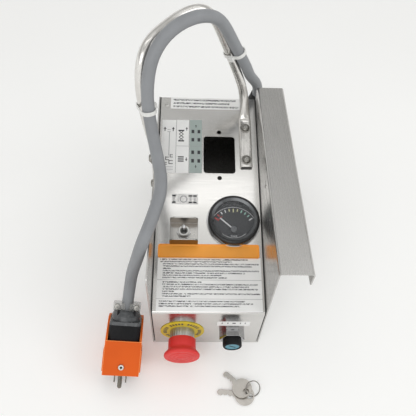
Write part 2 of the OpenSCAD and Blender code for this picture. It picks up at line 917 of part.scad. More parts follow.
module toggle_nut() {
    color("silver")
    on_panel(-toggle_left, toggle_s) translate([0, 0, sheet_t]) difference() {
        hexagon(toggle_nut_af, toggle_nut_h);
        translate([0, 0, -cut]) cylinder(d = bushing_d, h = toggle_nut_h + 2 * cut);
    }
}

// The lever is turned: a ball in the bushing, a slim neck and a bat-shaped grip
module toggle_lever() {
    grip = sheet_t + lever_h - lever_pivot;
    r_tip = lever_tip_d / 2;
    color("gainsboro")
    on_panel(-toggle_left, toggle_s) translate([0, 0, lever_pivot]) {
        intersection() {
            sphere(d = lever_ball_d);
            rotate([90, 0, 0]) cylinder(d = lever_drum_d, h = lever_ball_d, center = true);
        }
        cylinder(d = lever_neck_d, h = grip / 2);
        translate([0, 0, grip / 2]) rotate_extrude() polygon([
            [0, 0], [lever_neck_d / 2, 0], [r_tip, grip / 2 - r_tip], [0, grip / 2 - r_tip]
        ]);
        translate([0, 0, grip - r_tip]) sphere(r_tip);
    }
}

// Handle

function foot_dir() = [0, cos(slope), sin(slope)];
function foot_up() = [0, -sin(slope), cos(slope)];
function panel_point(x, s, h) =
    [x, front_y, front_h] + s * foot_dir() + h * foot_up();
function hoop_points() = [
    for (p = hoop_share) [p[0] * box_w, p[1] * box_l, p[2] * handle_h]
];
function left_foot(z) = [-box_w / 2 - flat_t / 2, left_foot_y, z];
function handle_points() = concat(
    [
        left_foot(left_foot_z - foot_end), left_foot(left_foot_z + foot_pitch / 3),
        left_foot(left_foot_z + foot_pitch * 2 / 3), left_foot(left_foot_z + foot_pitch),
        left_foot(left_foot_z + foot_pitch + foot_end)
    ],
    hoop_points(),
    [
        for (k = [foot_lead + 0.2, foot_lead, 1, 2 / 3, 1 / 3, 0])
            panel_point(right_foot_x, right_foot_s + k * foot_pitch, flat_t / 2)
    ],
    [panel_point(right_foot_x, right_foot_s - foot_end, flat_t / 2)]
);

// Cross-section of the tube at share f from round to flat, on the axes a and b
function tube_ring(at, a, b, f) =
    let (
        r = tube_d / 2 * (1 - f) + flat_t / 2 * f,
        w = (flat_w - flat_t) / 2 * f
    ) [
        for (k = [0 : tube_sides - 1])
            let (g = (k + 0.5) * 360 / tube_sides, c = cos(g), s = sin(g))
            at + a * (sign(c) * w + r * c / cos(180 / tube_sides))
                + b * (s * r / cos(180 / tube_sides * f))
    ];

function flat_share(i, n, steps) =
    let (
        from_left = i / steps, from_right = (n - 1 - i) / steps,
        near = min(from_left - left_spans, from_right - right_spans)
    ) near <= 0 ? 1 : near >= flat_spans ? 0 : (1 + cos(near / flat_spans * 180)) / 2;

module handle_body() {
    steps = 3;
    c = curve_points(handle_points(), steps);
    t = tangents(c);
    n = len(c);
    rings = [
        for (i = [0 : n - 1])
            let (
                q = (i / steps - left_hold) / ((n - 1) / steps - left_hold - right_hold),
                u = blend_pts([-1, 0, 0], foot_up(), min(1, max(0, q))),
                b = unit(u - (u * t[i]) * t[i]),
                a = cross(b, t[i])
            ) tube_ring(c[i], a, b, flat_share(i, n, steps))
    ];
    skin(rings);
}

module handle() {
    color("lightgray")
    difference() {
        handle_body();
        for (k = [0, 1]) {
            on_left(left_foot_y, left_foot_z + k * foot_pitch)
                translate([0, 0, -cut]) cylinder(d = foot_hole_d, h = flat_t + 2 * cut);
            on_panel(right_foot_x, right_foot_s + k * foot_pitch)
                translate([0, 0, -cut]) cylinder(d = foot_hole_d, h = flat_t + 2 * cut);
        }
    }
}

// Children stand on each of the four screw places of the handle's feet
module at_foot_screws() {
    for (k = [0, 1]) {
        on_left(left_foot_y, left_foot_z + k * foot_pitch) children();
        on_panel(right_foot_x, right_foot_s + k * foot_pitch) children();
    }
}

module handle_screws() {
    shank = flat_t + sheet_t + foot_nut_t + washer_t;
    color("silver")
    at_foot_screws() {
        translate([0, 0, flat_t - shank]) cylinder(d = foot_screw_d, h = shank);
        translate([0, 0, flat_t]) difference() {
            cylinder(d1 = foot_head_d, d2 = foot_head_d * head_top_share, h = head_t);
            translate([0, 0, head_t / 2]) cylinder(d = foot_screw_d / 2, h = head_t, $fn = 6);
        }
    }
}

module handle_nuts() {
    color("gray")
    at_foot_screws() translate([0, 0, -sheet_t - washer_t]) difference() {
        union() {
            cylinder(d = washer_d, h = washer_t);
            translate([0, 0, -foot_nut_t]) hexagon(foot_nut_af, foot_nut_t);
        }
        translate([0, 0, -foot_nut_t - cut])
            cylinder(d = foot_screw_d, h = foot_nut_t + washer_t + 2 * cut);
    }
}

// A screw of the same kind through the left side plate, with a nut inside
module side_screw() {
    color("silver")
    on_left(side_screw_y, side_screw_z) {
        translate([0, 0, -sheet_t - foot_nut_t]) cylinder(d = foot_screw_d, h = sheet_t + foot_nut_t);
        translate([0, 0, -sheet_t - foot_nut_t]) hexagon(foot_nut_af, foot_nut_t);
        difference() {
            cylinder(d1 = foot_head_d, d2 = foot_head_d * head_top_share, h = head_t);
            translate([0, 0, head_t / 2]) cylinder(d = foot_screw_d / 2, h = head_t, $fn = 6);
        }
    }
}

// Lead

function elbow_dir() = unit(route[1] - route[0]);
function elbow_corner() = route[0] - elbow_out * elbow_dir();
function plug_dir() = unit(route[len(route) - 2] - route[len(route) - 1]);

module cord_elbow() {
    corner = elbow_corner();
    wall = box_l / 2;
    color("black") {
        translate([corner[0], wall, corner[2]]) rotate([-90, 0, 0]) {
            cylinder(d = elbow_flange_d, h = elbow_flange_t);
            cylinder(d = elbow_d, h = corner[1] - wall);
            translate([0, 0, -sheet_t - elbow_thread_l + elbow_flange_t])
                cylinder(d = elbow_thread_d, h = sheet_t + elbow_thread_l);
        }
        translate(corner) sphere(d = elbow_d);
        on_axis(corner, route[0]) {
            cylinder(d = elbow_d, h = elbow_out - elbow_nut_l);
            translate([0, 0, elbow_out - elbow_nut_l]) hexagon(elbow_nut_d * cos(30), elbow_nut_l);
        }
    }
}

module cord_locknut() {
    corner = elbow_corner();
    color("gray")
    translate([corner[0], box_l / 2 - sheet_t, corner[2]]) rotate([90, 0, 0]) difference() {
        hexagon(locknut_af, locknut_t);
        translate([0, 0, -cut]) cylinder(d = elbow_thread_d, h = locknut_t + 2 * cut);
    }
}

module cable() {
    c = curve_points(route, rings_per_span);
    free_t = tangents(c);
    last = len(c) - 1;
    t = [
        for (i = [0 : last])
            i == 0 ? elbow_dir() : i == last ? -plug_dir() : free_t[i]
    ];
    start = unit(cross(t[0], [0, 1, 0]));
    side = carry(t, 0, start);
    rings = [
        for (i = [0 : len(c) - 1])
            let (a = side[i], b = cross(t[i], a))
            [
                for (k = [0 : cable_sides - 1])
                    let (g = k * 360 / cable_sides)
                    c[i] + cable_d / 2 * (cos(g) * a + sin(g) * b)
            ]
    ];
    color("slategray") skin(rings);
}

// A tie closes round the tube and the lead where the shares give their places
module tie(share) {
    h = curve_share(handle_points(), share[0]);
    k = curve_share(route, share[1]);
    zh = unit(curve_share(handle_points(), share[0] + tie_step) - h);
    zr = unit(curve_share(route, share[1] + tie_step) - k);
    z = unit(zh + sign(zh * zr) * zr);
    d = k - h;
    x = unit(d - (d * z) * z);
    y = cross(z, x);
    gap = (d * x);
    r1 = tube_d / 2 + tie_gap;
    r2 = cable_d / 2 + tie_gap;
    color("white")
    multmatrix([
        [x[0], y[0], z[0], h[0]], [x[1], y[1], z[1], h[1]],
        [x[2], y[2], z[2], h[2]], [0, 0, 0, 1]
    ]) {
        translate([0, 0, -tie_w / 2]) linear_extrude(tie_w) difference() {
            hull() {
                circle(r1 + tie_band);
                translate([gap, 0]) circle(r2 + tie_band);
            }
            hull() {
                circle(r1);
                translate([gap, 0]) circle(r2);
            }
        }
        translate([gap / 2, r2 + tie_band + tie_head / 4, 0])
            cube([tie_head, tie_head / 2 + tie_band, tie_w + tie_band], center = true);
    }
}

module tie_right() {
    tie(tie_right_share);
}

module tie_left() {
    tie(tie_left_share);
}

// Plug: its own axis runs from the blades up to the lead, and -Y is its upper side. The lead ends
// half way into the cap.

module on_plug() {
    d = plug_dir();
    tilt = acos(d[2]);
    turn = atan2(-d[0], d[1]);
    translate(route[len(route) - 1]) rotate([-tilt, 0, turn]) rotate([0, 0, plug_roll])
        translate([0, 0, -plug_l - plug_cap_l / 2]) children();
}

module plug_body() {
    color([0.08, 0.08, 0.08])
    on_plug() difference() {
        linear_extrude(plug_l) rounded_rect(plug_w, plug_w, plug_r);
        for (s = [-1, 1])
            translate([s * blade_pitch / 2, blade_y, 0])
                cube([blade_t, blade_w, blade_w], center = true);
        translate([0, earth_y, -cut]) cylinder(d = earth_d, h = blade_w / 2 + cut);
        translate([0, -plug_w / 2, sleeve_screw_z]) rotate([90, 0, 0])
            cylinder(d = sleeve_screw_d, h = 2 * plug_r, center = true);
    }
}

module plug_cap() {
    color("dimgray")
    on_plug() translate([0, 0, plug_l]) difference() {
        union() {
            cylinder(d = cap_d, h = plug_cap_l / 2);
            translate([0, 0, plug_cap_l / 2])
                cylinder(d1 = cap_d, d2 = cap_end_d, h = plug_cap_l / 2);
        }
        for (s = [-1, 1])
            translate([s * (cap_d / 2 - plug_r / 2), -plug_r, plug_cap_l / 2])
                cube([plug_r, plug_r, plug_cap_l + cut], center = true);
        translate([0, 0, plug_cap_l / 2]) cylinder(d = cable_d + 2 * free, h = plug_cap_l);
    }
}

// The clamp's bore follows the last stretch of the lead, which bends off as it leaves the cap
module plug_clamp() {
    c = curve_points(route, rings_per_span);
    color("silver")
    difference() {
        on_plug() translate([0, 0, plug_l + plug_cap_l]) {
            translate([-clamp_bar_w / 2, -clamp_bar_t, 0])
                cube([clamp_bar_w, 2 * clamp_bar_t, plug_clamp_l]);
            for (s = [-1, 1])
                translate([s * clamp_screw_x, -clamp_bar_t, plug_clamp_l / 2]) rotate([90, 0, 0])
                    cylinder(d = clamp_head_d, h = clamp_screw_d / 2);
        }
        on_axis(c[len(c) - 1], c[len(c) - 2])
            cylinder(d = cable_d + 2 * free, h = plug_cap_l + plug_clamp_l + cut);
    }
}

module plug_blades() {
    color("goldenrod")
    on_plug() {
        for (s = [-1, 1])
            translate([s * blade_pitch / 2, blade_y, (blade_w / 2 - blade_l) / 2])
                cube([blade_t, blade_w, blade_l + blade_w / 2], center = true);
        translate([0, earth_y, -earth_l + earth_d / 2])
            cylinder(d = earth_d, h = earth_l - earth_d / 2 + blade_w / 2);
        translate([0, earth_y, -earth_l + earth_d / 2]) sphere(d = earth_d);
    }
}

// Side wall of the sleeve, seen from its side: full height in front, sloping off to the rear
module sleeve_side() {
    rear = sleeve_top_l - sleeve_front;
    polygon([
        [-sleeve_h / 2, -sleeve_front], [sleeve_h / 2, -sleeve_front],
        [sleeve_h / 2, rear + sleeve_ear_l], [sleeve_h * (0.5 - sleeve_ear_share), rear + sleeve_ear_l],
        [-sleeve_h / 2, rear]
    ]);
}

module plug_sleeve() {
    in_w = sleeve_w - 2 * sleeve_t;
    in_h = sleeve_h - 2 * sleeve_t;
    color("orangered")
    on_plug() difference() {
        union() {
            translate([-sleeve_w / 2, 0, 0]) rotate([90, 0, 90]) linear_extrude(sleeve_w)
                sleeve_side();
            for (s = [-1, 1])
                translate([s * (sleeve_w + sleeve_tab_w) / 2, sleeve_h / 2 - sleeve_tab_h / 2,
                        -sleeve_front + sleeve_tab_l / 2])
                    cube([sleeve_tab_w, sleeve_tab_h, sleeve_tab_l], center = true);
        }
        translate([-in_w / 2, -in_h / 2, -sleeve_front - cut])
            cube([in_w, in_h, sleeve_top_l + sleeve_ear_l + 2 * cut]);
        translate([-in_w / 2, -sleeve_h, sleeve_top_l - sleeve_front])
            cube([in_w, sleeve_h, sleeve_ear_l + cut]);
        translate([0, -sleeve_h / 2, sleeve_screw_z]) rotate([90, 0, 0])
            cylinder(d = sleeve_screw_d, h = 4 * sleeve_t, center = true);
    }
}

module sleeve_screw() {
    color("silver")
    on_plug() translate([0, -sleeve_h / 2, sleeve_screw_z]) rotate([90, 0, 0]) {
        translate([0, 0, -sleeve_t - plug_r]) cylinder(d = sleeve_screw_d, h = sleeve_t + plug_r);
        difference() {
            cylinder(d1 = sleeve_head_d, d2 = sleeve_head_top_d, h = sleeve_screw_d / 2);
            translate([0, 0, sleeve_screw_d / 4])
                cylinder(d = sleeve_socket_d, h = sleeve_screw_d, $fn = 6);
        }
    }
}

// Inside

module terminal_block() {
    pitch = block_l / block_poles;
    color("ivory")
    translate([-block_l / 2, block_y - block_w / 2, sheet_t]) difference() {
        cube([block_l, block_w, block_h]);
        for (k = [1 : block_poles - 1])
            translate([k * pitch - block_slot / 2, -cut, block_floor_h])
                cube([block_slot, block_w + 2 * cut, block_h]);
        for (k = [0 : block_poles - 1], s = [-1, 1])
            translate([(k + 0.5) * pitch, block_w / 2 + s * block_row, block_floor_h])
                cylinder(d = block_screw_d + 2 * free, h = block_h, $fn = 24);
    }
}

module terminal_screws() {
    pitch = block_l / block_poles;
    color("gold")
    translate([-block_l / 2, block_y - block_w / 2, sheet_t])
        for (k = [0 : block_poles - 1], s = [-1, 1])
            translate([(k + 0.5) * pitch, block_w / 2 + s * block_row, block_floor_h])
                cylinder(d = block_screw_d, h = block_screw_h, $fn = 24);
}

// Keys

// A point on the key ring at angle a round it
function ring_point(a) =
    let (
        along = [cos(ring_turn), sin(ring_turn), 0],
        across = [-sin(ring_turn) * -1, cos(ring_turn) * -1, 0],
        low = ring_wire_d / 2 + key_lift + ring_r * sin(ring_tilt)
    ) [ring_x, ring_y, low]
        + ring_r * cos(a) * along
        + ring_r * sin(a) * (cos(ring_tilt) * across + [0, 0, sin(ring_tilt)]);

// A key lies with its hole at point p, its blade towards the heading and its tip on the table
module key_shape(p, heading, l) {
    drop = asin((p[2] - key_t / 2 - key_lift) / l);
    pitch = (l - bow_d) / (key_notches + 1);
    translate(p) rotate([0, drop, heading]) translate([0, 0, -key_t / 2]) linear_extrude(key_t)
        difference() {
            union() {
                translate([bow_hole_in, 0]) circle(d = bow_d);
                translate([bow_hole_in, -key_blade_w / 2])
                    square([l - bow_hole_in - key_blade_w / 2, key_blade_w]);
                translate([l - key_blade_w / 2, 0]) circle(d = key_blade_w);
            }
            circle(d = bow_hole_d);
            for (k = [0 : key_notches - 1])
                translate([bow_d - bow_hole_in / 2 + (k + 0.5) * pitch, key_blade_w / 2])
                    rotate(45) square(key_blade_w * key_notch_share[k] * sqrt(2), center = true);
        }
}

module key_long() {
    color("silver") key_shape(ring_point(long_hole_angle), long_heading, key_long_l);
}

module key_short() {
    color("silver") key_shape(ring_point(short_hole_angle), short_heading, key_short_l);
}

module key_ring() {
    c = ring_point(0) - ring_r * [cos(ring_turn), sin(ring_turn), 0];
    color("gray")
    translate(c) rotate([0, 0, ring_turn]) rotate([-ring_tilt, 0, 0])
        rotate_extrude($fn = 72) translate([ring_r, 0]) circle(d = ring_wire_d, $fn = 16);
}

base_pan();
left_side_plate();
right_side_plate();
control_panel();
rear_cover();
panel_seals();
stop_ring();
stop_sleeve();
stop_ring_nut();
stop_stem();
stop_button();
stop_contact_block();
key_switch_nut();
key_switch_barrel();
key_switch_collar();
key_switch_core();
key_contact_block();
gauge_can();
gauge_bezel();
gauge_dial();
gauge_spindle();
gauge_needle();
gauge_lens();
gauge_clamp();
gauge_clamp_nuts();
toggle_guard();
toggle_switch();
toggle_nut();
toggle_lever();
handle();
handle_screws();
handle_nuts();
side_screw();
cord_elbow();
cord_locknut();
cable();
tie_right();
tie_left();
plug_body();
plug_cap();
plug_clamp();
plug_blades();
plug_sleeve();
sleeve_screw();
terminal_block();
terminal_screws();
key_long();
key_short();
key_ring();
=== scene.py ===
# Looks of a scissor lift control box: a stainless box with a sloping panel, a hook channel,
# a hoop handle, a stop button, a key switch, a toggle, a gauge, a plug lead and two keys.
# Sizes are in millimetres times mm, in the frame of the CAD model.
import math

import bpy
from mathutils import Matrix, Vector


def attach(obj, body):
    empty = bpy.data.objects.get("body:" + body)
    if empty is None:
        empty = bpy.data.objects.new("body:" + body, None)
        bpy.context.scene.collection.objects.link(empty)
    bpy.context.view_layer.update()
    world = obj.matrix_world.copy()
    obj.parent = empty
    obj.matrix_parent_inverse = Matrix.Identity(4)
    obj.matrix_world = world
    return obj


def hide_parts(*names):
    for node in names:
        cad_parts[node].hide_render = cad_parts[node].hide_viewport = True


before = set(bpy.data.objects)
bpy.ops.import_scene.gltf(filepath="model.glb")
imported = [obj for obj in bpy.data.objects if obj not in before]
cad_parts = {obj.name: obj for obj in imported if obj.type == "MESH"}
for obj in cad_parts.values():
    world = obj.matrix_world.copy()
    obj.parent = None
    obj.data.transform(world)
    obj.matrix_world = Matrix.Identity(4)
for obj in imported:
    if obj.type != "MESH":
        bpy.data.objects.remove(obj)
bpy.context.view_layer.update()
scene = bpy.context.scene
mm = 0.001

# ---------------------------------------------------------------------------------------------
# Camera
# It looks down on the front of the box from arm's length, a little left of the middle, as the
# photograph does.
camera_data = bpy.data.cameras.new("camera")
camera_data.sensor_width = 36
camera_data.lens = 40.07
camera = bpy.data.objects.new("camera", camera_data)
scene.collection.objects.link(camera)
look_right = Vector((0.9991, -0.0131, 0.0429))
look_up = Vector((-0.0156, 0.796, 0.6046))
look_back = Vector((-0.0421, -0.6052, 0.7953))
camera_turn = Matrix((look_right, look_up, look_back)).transposed().to_4x4()
camera_place = Matrix.Translation((-23.5 * mm, -346.2 * mm, 544.6 * mm))
camera.matrix_world = camera_place @ camera_turn
scene.camera = camera

# ---------------------------------------------------------------------------------------------
# Lead
# A heavy round rubber lead, moulded in one grey. It leaves the elbow behind the box, climbs along
# the handle in two ties, leans over the left side plate and drops into the plug.
lead_width = 13 * mm
lead_route = [
    (56, 154, 117), (63.3, 154, 129.7), (66.5, 151.5, 148), (63.5, 145.5, 166),
    (56, 136, 180), (48.5, 126, 194), (43, 119, 210.5), (34.5, 115, 227),
    (26, 111.5, 244), (18, 107, 260.5), (10, 100.5, 277), (0.5, 91, 290),
    (-12, 78.5, 298), (-26.5, 66, 301), (-41, 53.5, 298.5), (-53.5, 43, 289.5),
    (-61.5, 33, 276.5), (-65, 26.5, 260), (-66.5, 22.5, 242), (-65.5, 17.5, 225),
    (-62.5, 7.5, 210.5), (-58.5, -7, 200.5), (-54.5, -24, 194), (-51, -41.5, 190.5),
    (-51.5, -59, 187), (-56.5, -75.5, 181.5), (-62.5, -89.5, 171.5), (-69.5, -98.5, 157),
    (-74.5, -102, 138.5), (-79.5, -101, 118.5), (-84, -99.5, 98.5), (-87, -103.5, 79.5),
    (-89.9, -113.9, 64.3), (-91.1, -125.6, 55.6),
]


def shader_material(name, color, metallic=0.0, roughness=0.5):
    material = bpy.data.materials.new(name)
    material.use_nodes = True
    shader = material.node_tree.nodes["Principled BSDF"]
    shader.inputs["Base Color"].default_value = (*color, 1)
    shader.inputs["Metallic"].default_value = metallic
    shader.inputs["Roughness"].default_value = roughness
    return material


def set_shader(material, socket, value):
    material.node_tree.nodes["Principled BSDF"].inputs[socket].default_value = value


def add_grain(material, scale, stretch=(1, 1, 1), turned=(0, 0, 0), detail=3.0):
    """A noise over the piece, longer along the axes that stretch makes small."""
    nodes = material.node_tree.nodes
    links = material.node_tree.links
    coords = nodes.new("ShaderNodeTexCoord")
    mapping = nodes.new("ShaderNodeMapping")
    mapping.inputs["Rotation"].default_value = turned
    mapping.inputs["Scale"].default_value = stretch
    noise = nodes.new("ShaderNodeTexNoise")
    noise.inputs["Scale"].default_value = scale
    noise.inputs["Detail"].default_value = detail
    links.new(coords.outputs["Object"], mapping.inputs["Vector"])
    links.new(mapping.outputs["Vector"], noise.inputs["Vector"])
    return noise.outputs["Fac"]


def grain_to_roughness(material, grain, low, high):
    nodes = material.node_tree.nodes
    links = material.node_tree.links
    spread = nodes.new("ShaderNodeMapRange")
    spread.inputs["From Min"].default_value = 0.3
    spread.inputs["From Max"].default_value = 0.7
    spread.inputs["To Min"].default_value = low
    spread.inputs["To Max"].default_value = high
    links.new(grain, spread.inputs["Value"])
    links.new(spread.outputs["Result"], nodes["Principled BSDF"].inputs["Roughness"])


def grain_to_color(material, grain, dark, light, low=0.3, high=0.7):
    nodes = material.node_tree.nodes
    links = material.node_tree.links
    ramp = nodes.new("ShaderNodeValToRGB")
    ramp.color_ramp.elements[0].position = low
    ramp.color_ramp.elements[0].color = (*dark, 1)
    ramp.color_ramp.elements[1].position = high
    ramp.color_ramp.elements[1].color = (*light, 1)
    links.new(grain, ramp.inputs["Fac"])
    links.new(ramp.outputs["Color"], nodes["Principled BSDF"].inputs["Base Color"])


def grain_to_bump(material, grain, strength, depth):
    nodes = material.node_tree.nodes
    links = material.node_tree.links
    bump = nodes.new("ShaderNodeBump")
    bump.inputs["Strength"].default_value = strength
    bump.inputs["Distance"].default_value = depth
    shader = nodes["Principled BSDF"]
    if shader.inputs["Normal"].is_linked:
        links.new(shader.inputs["Normal"].links[0].from_socket, bump.inputs["Normal"])
    links.new(grain, bump.inputs["Height"])
    links.new(bump.outputs["Normal"], shader.inputs["Normal"])


def mottled_material(name, dark, light, scale, smooth, rough, metallic=0.0, stretch=(1, 1, 1)):
    """A material whose colour and gloss both follow one noise, between the given ends."""
    middle = [(a + b) / 2 for a, b in zip(dark, light)]
    material = shader_material(name, middle, metallic, (smooth + rough) / 2)
    grain = add_grain(material, scale, stretch)
    grain_to_roughness(material, grain, smooth, rough)
    grain_to_color(material, grain, dark, light)
    return material


def dress(node, material):
    """The CAD solid itself is shown in the material."""
    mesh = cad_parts[node].data
    mesh.materials.clear()
    mesh.materials.append(material)
    for face in mesh.polygons:
        face.material_index = 0


lead_rubber = shader_material("lead_rubber", (0.255, 0.265, 0.28), roughness=0.5)
lead_grain = add_grain(lead_rubber, 900)
grain_to_roughness(lead_rubber, lead_grain, 0.42, 0.58)
lead_mottle = add_grain(lead_rubber, 35)
grain_to_color(lead_rubber, lead_mottle, (0.235, 0.243, 0.255), (0.275, 0.285, 0.30))
grain_to_bump(lead_rubber, lead_grain, 0.25, 0.1 * mm)

lead_points = [Vector(p) * mm for p in lead_route]
lead_points.insert(0, 2 * lead_points[0] - lead_points[1])
lead_points.append(2 * lead_points[-1] - lead_points[-2])


def round_run(name, points, material, widths=None):
    """A round run along the points, as thick as the lead or in the given shares of it."""
    curve = bpy.data.curves.new(name, "CURVE")
    curve.dimensions = "3D"
    curve.bevel_depth = lead_width / 2
    curve.bevel_resolution = 8
    curve.resolution_u = 8
    curve.use_fill_caps = True
    spline = curve.splines.new("NURBS")
    spline.points.add(len(points) - 1)
    for place, point in zip(spline.points, points):
        place.co = (*point, 1)
    for place, width in zip(spline.points, widths or []):
        place.radius = width
    spline.order_u = 4
    curve.materials.append(material)
    run = bpy.data.objects.new(name, curve)
    scene.collection.objects.link(run)
    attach(run, "housing")
    return run


lead = round_run("lead", lead_points, lead_rubber)
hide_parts("cable")
dress("cable", lead_rubber)

# ---------------------------------------------------------------------------------------------
# Floor and light
# A plain pale table under a sky with grey bands, which the steel mirrors. One broad soft lamp
# stands at the front left and one at the right. A strip gives the bright band on the panel.
bpy.ops.object.select_all(action="DESELECT")
bpy.ops.mesh.primitive_plane_add(size=12, location=(0, 0, -0.2 * mm))
floor = bpy.context.object
floor.name = "floor"
floor_paper = shader_material("floor_paper", (0.93, 0.93, 0.92), roughness=0.9)
grain_to_color(floor_paper, add_grain(floor_paper, 3), (0.92, 0.92, 0.91), (0.94, 0.94, 0.93))
# To the camera, and in steel and glass, the paper is a little whiter than it is lit.
paper_glow = 0.09
paper_tree = floor_paper.node_tree
ray_kind = paper_tree.nodes.new("ShaderNodeLightPath")
seen_rays = ray_kind.outputs["Is Camera Ray"]
for kind in ("Is Glossy Ray", "Is Transmission Ray"):
    either = paper_tree.nodes.new("ShaderNodeMath")
    either.use_clamp = True
    paper_tree.links.new(seen_rays, either.inputs[0])
    paper_tree.links.new(ray_kind.outputs[kind], either.inputs[1])
    seen_rays = either.outputs[0]
glow = paper_tree.nodes.new("ShaderNodeMath")
glow.operation = "MULTIPLY"
glow.inputs[1].default_value = paper_glow
paper_tree.links.new(seen_rays, glow.inputs[0])
set_shader(floor_paper, "Emission Color", (1, 1, 1, 1))
paper_shader = paper_tree.nodes["Principled BSDF"]
paper_tree.links.new(glow.outputs[0], paper_shader.inputs["Emission Strength"])
floor.data.materials.append(floor_paper)

world = bpy.data.worlds.new("studio")
scene.world = world
world.use_nodes = True
sky = world.node_tree
sky_light = sky.nodes["Background"]
sky_coords = sky.nodes.new("ShaderNodeTexCoord")
sky_axes = sky.nodes.new("ShaderNodeSeparateXYZ")
sky_ramp = sky.nodes.new("ShaderNodeValToRGB")
sky_ramp.color_ramp.elements[0].color = (0.92, 0.92, 0.91, 1)
sky_ramp.color_ramp.elements[1].color = (0.8, 0.8, 0.79, 1)
sky_bands = (
    (0.22, 0.92), (0.3, 0.6), (0.6, 0.42), (0.75, 0.5), (0.85, 0.78), (0.9, 0.66), (0.948, 0.38),
    (0.962, 0.42), (0.975, 0.85),
)
for height, gray in sky_bands:
    stop = sky_ramp.color_ramp.elements.new(height)
    stop.color = (gray, gray, gray * 0.985, 1)
sky.links.new(sky_coords.outputs["Generated"], sky_axes.inputs["Vector"])
sky.links.new(sky_axes.outputs["Z"], sky_ramp.inputs["Fac"])
sky.links.new(sky_ramp.outputs["Color"], sky_light.inputs["Color"])
sky_light.inputs["Strength"].default_value = 1.16


def area_light(name, place, aim, width, depth, power):
    data = bpy.data.lights.new(name, "AREA")
    data.shape = "RECTANGLE"
    data.size = width
    data.size_y = depth
    data.energy = power
    lamp = bpy.data.objects.new(name, data)
    scene.collection.objects.link(lamp)
    lamp.location = place
    lamp.rotation_euler = (Vector(aim) - Vector(place)).to_track_quat("-Z", "Y").to_euler()


area_light("softbox_front", (-0.5, -1.4, 1.5), (0, 0, 0.1), 1.6, 1.2, 9)
area_light("softbox_right", (1.5, -0.5, 1.5), (0, 0, 0.1), 1.0, 1.0, 6)
area_light("strip_over_panel", (0.0, 0.235, 1.25), (0, 0.005, 0.117), 1.0, 0.13, 0.5)
scene.view_settings.view_transform = "Standard"

# ---------------------------------------------------------------------------------------------
# Sheet box
# Two side plates, a base pan, a rear cover and one folded sheet for the panel and the front face.
# All are laser-cut stainless sheet with a fine brushed finish and broken edges.
sheet_steel = shader_material("sheet_steel", (0.55, 0.54, 0.51), metallic=1.0, roughness=0.28)
panel_steel = shader_material("panel_steel", (0.65, 0.64, 0.62), metallic=1.0, roughness=0.2)
pan_steel = shader_material("pan_steel", (0.2, 0.2, 0.2), metallic=1.0, roughness=0.45)
for steel, stretch, low, high, depth, gray in (
    (sheet_steel, (40, 1, 40), 0.22, 0.34, 0.02, 0.55),
    (panel_steel, (1, 60, 60), 0.17, 0.24, 0.008, 0.65),
    (pan_steel, (1, 40, 40), 0.4, 0.5, 0.02, 0.2),
):
    brushed = add_grain(steel, 28, stretch)
    smudge = add_grain(steel, 14)
    dull = (0.96 * gray, 0.945 * gray, 0.915 * gray)
    clean = (1.04 * gray, 1.025 * gray, 1.0 * gray)
    grain_to_roughness(steel, brushed, low, high)
    grain_to_color(steel, smudge, dull, clean)
    grain_to_bump(steel, brushed, 0.1, depth * mm)


def finished_copy(node, material, edge=0.25 * mm, segments=2, angle=35, rim=None):
    """A copy of a CAD solid with its facets joined, its edges broken and its curves smooth.
    The broken edges may have a material of their own, the rim."""
    bpy.ops.object.select_all(action="DESELECT")
    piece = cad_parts[node].copy()
    piece.data = piece.data.copy()
    piece.name = node + "_finished"
    piece.parent = None
    # The marks that say which CAD node it is stay with the solid.
    for key in list(piece.keys()):
        del piece[key]
    scene.collection.objects.link(piece)
    piece.data.materials.clear()
    piece.data.materials.append(material)
    for face in piece.data.polygons:
        face.material_index = 0
    piece.select_set(True)
    bpy.context.view_layer.objects.active = piece
    bpy.ops.object.mode_set(mode="EDIT")
    bpy.ops.mesh.select_all(action="SELECT")
    bpy.ops.mesh.remove_doubles(threshold=0.004 * mm)
    bpy.ops.mesh.dissolve_limited(angle_limit=math.radians(0.6))
    bpy.ops.object.mode_set(mode="OBJECT")
    if edge:
        rounding = piece.modifiers.new("edges", "BEVEL")
        rounding.width = edge
        rounding.segments = segments
        rounding.limit_method = "ANGLE"
        rounding.angle_limit = math.radians(angle)
        rounding.use_clamp_overlap = True
        if rim:
            piece.data.materials.append(rim)
            rounding.material = 1
        bpy.ops.object.modifier_apply(modifier=rounding.name)
    bpy.ops.object.shade_smooth_by_angle(angle=math.radians(angle))
    if edge:
        flats = piece.modifiers.new("flats", "WEIGHTED_NORMAL")
        flats.weight = 100
        flats.keep_sharp = True
        bpy.ops.object.modifier_apply(modifier=flats.name)
    return piece


def mount_piece(piece, body, slot, *nodes):
    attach(piece, body)
    if nodes:
        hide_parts(*nodes)
        dress(nodes[0], piece.data.materials[0])


def mount_at(place, piece, body, slot, *nodes):
    piece.data.transform(place)
    mount_piece(piece, body, slot, *nodes)


def mount_copy(node, material, slot, *finish, body="housing", **options):
    """The finished copy of a CAD solid is shown in its place."""
    piece = finished_copy(node, material, *finish, **options)
    mount_piece(piece, body, slot, node)
    return piece


def spin(piece, degrees):
    piece.data.transform(Matrix.Rotation(math.radians(degrees), 4, "Z"))


for node in ("left_side_plate", "right_side_plate", "rear_cover"):
    mount_copy(node, sheet_steel, "stainless")
mount_copy("base_pan", pan_steel, "stainless")
mount_copy("control_panel", panel_steel, "stainless")

# The rubber seals in the two seams of the panel are plain strips, as extruded.
seal_rubber = shader_material("seal_rubber", (0.02, 0.02, 0.02), roughness=0.7)
seal_grain = add_grain(seal_rubber, 700)
grain_to_roughness(seal_rubber, seal_grain, 0.6, 0.8)
grain_to_bump(seal_rubber, seal_grain, 0.2, 0.05 * mm)
dress("panel_seals", seal_rubber)

# ---------------------------------------------------------------------------------------------
# Rivet on the panel
# One small blind rivet near the left back corner of the panel holds an earth lug inside.

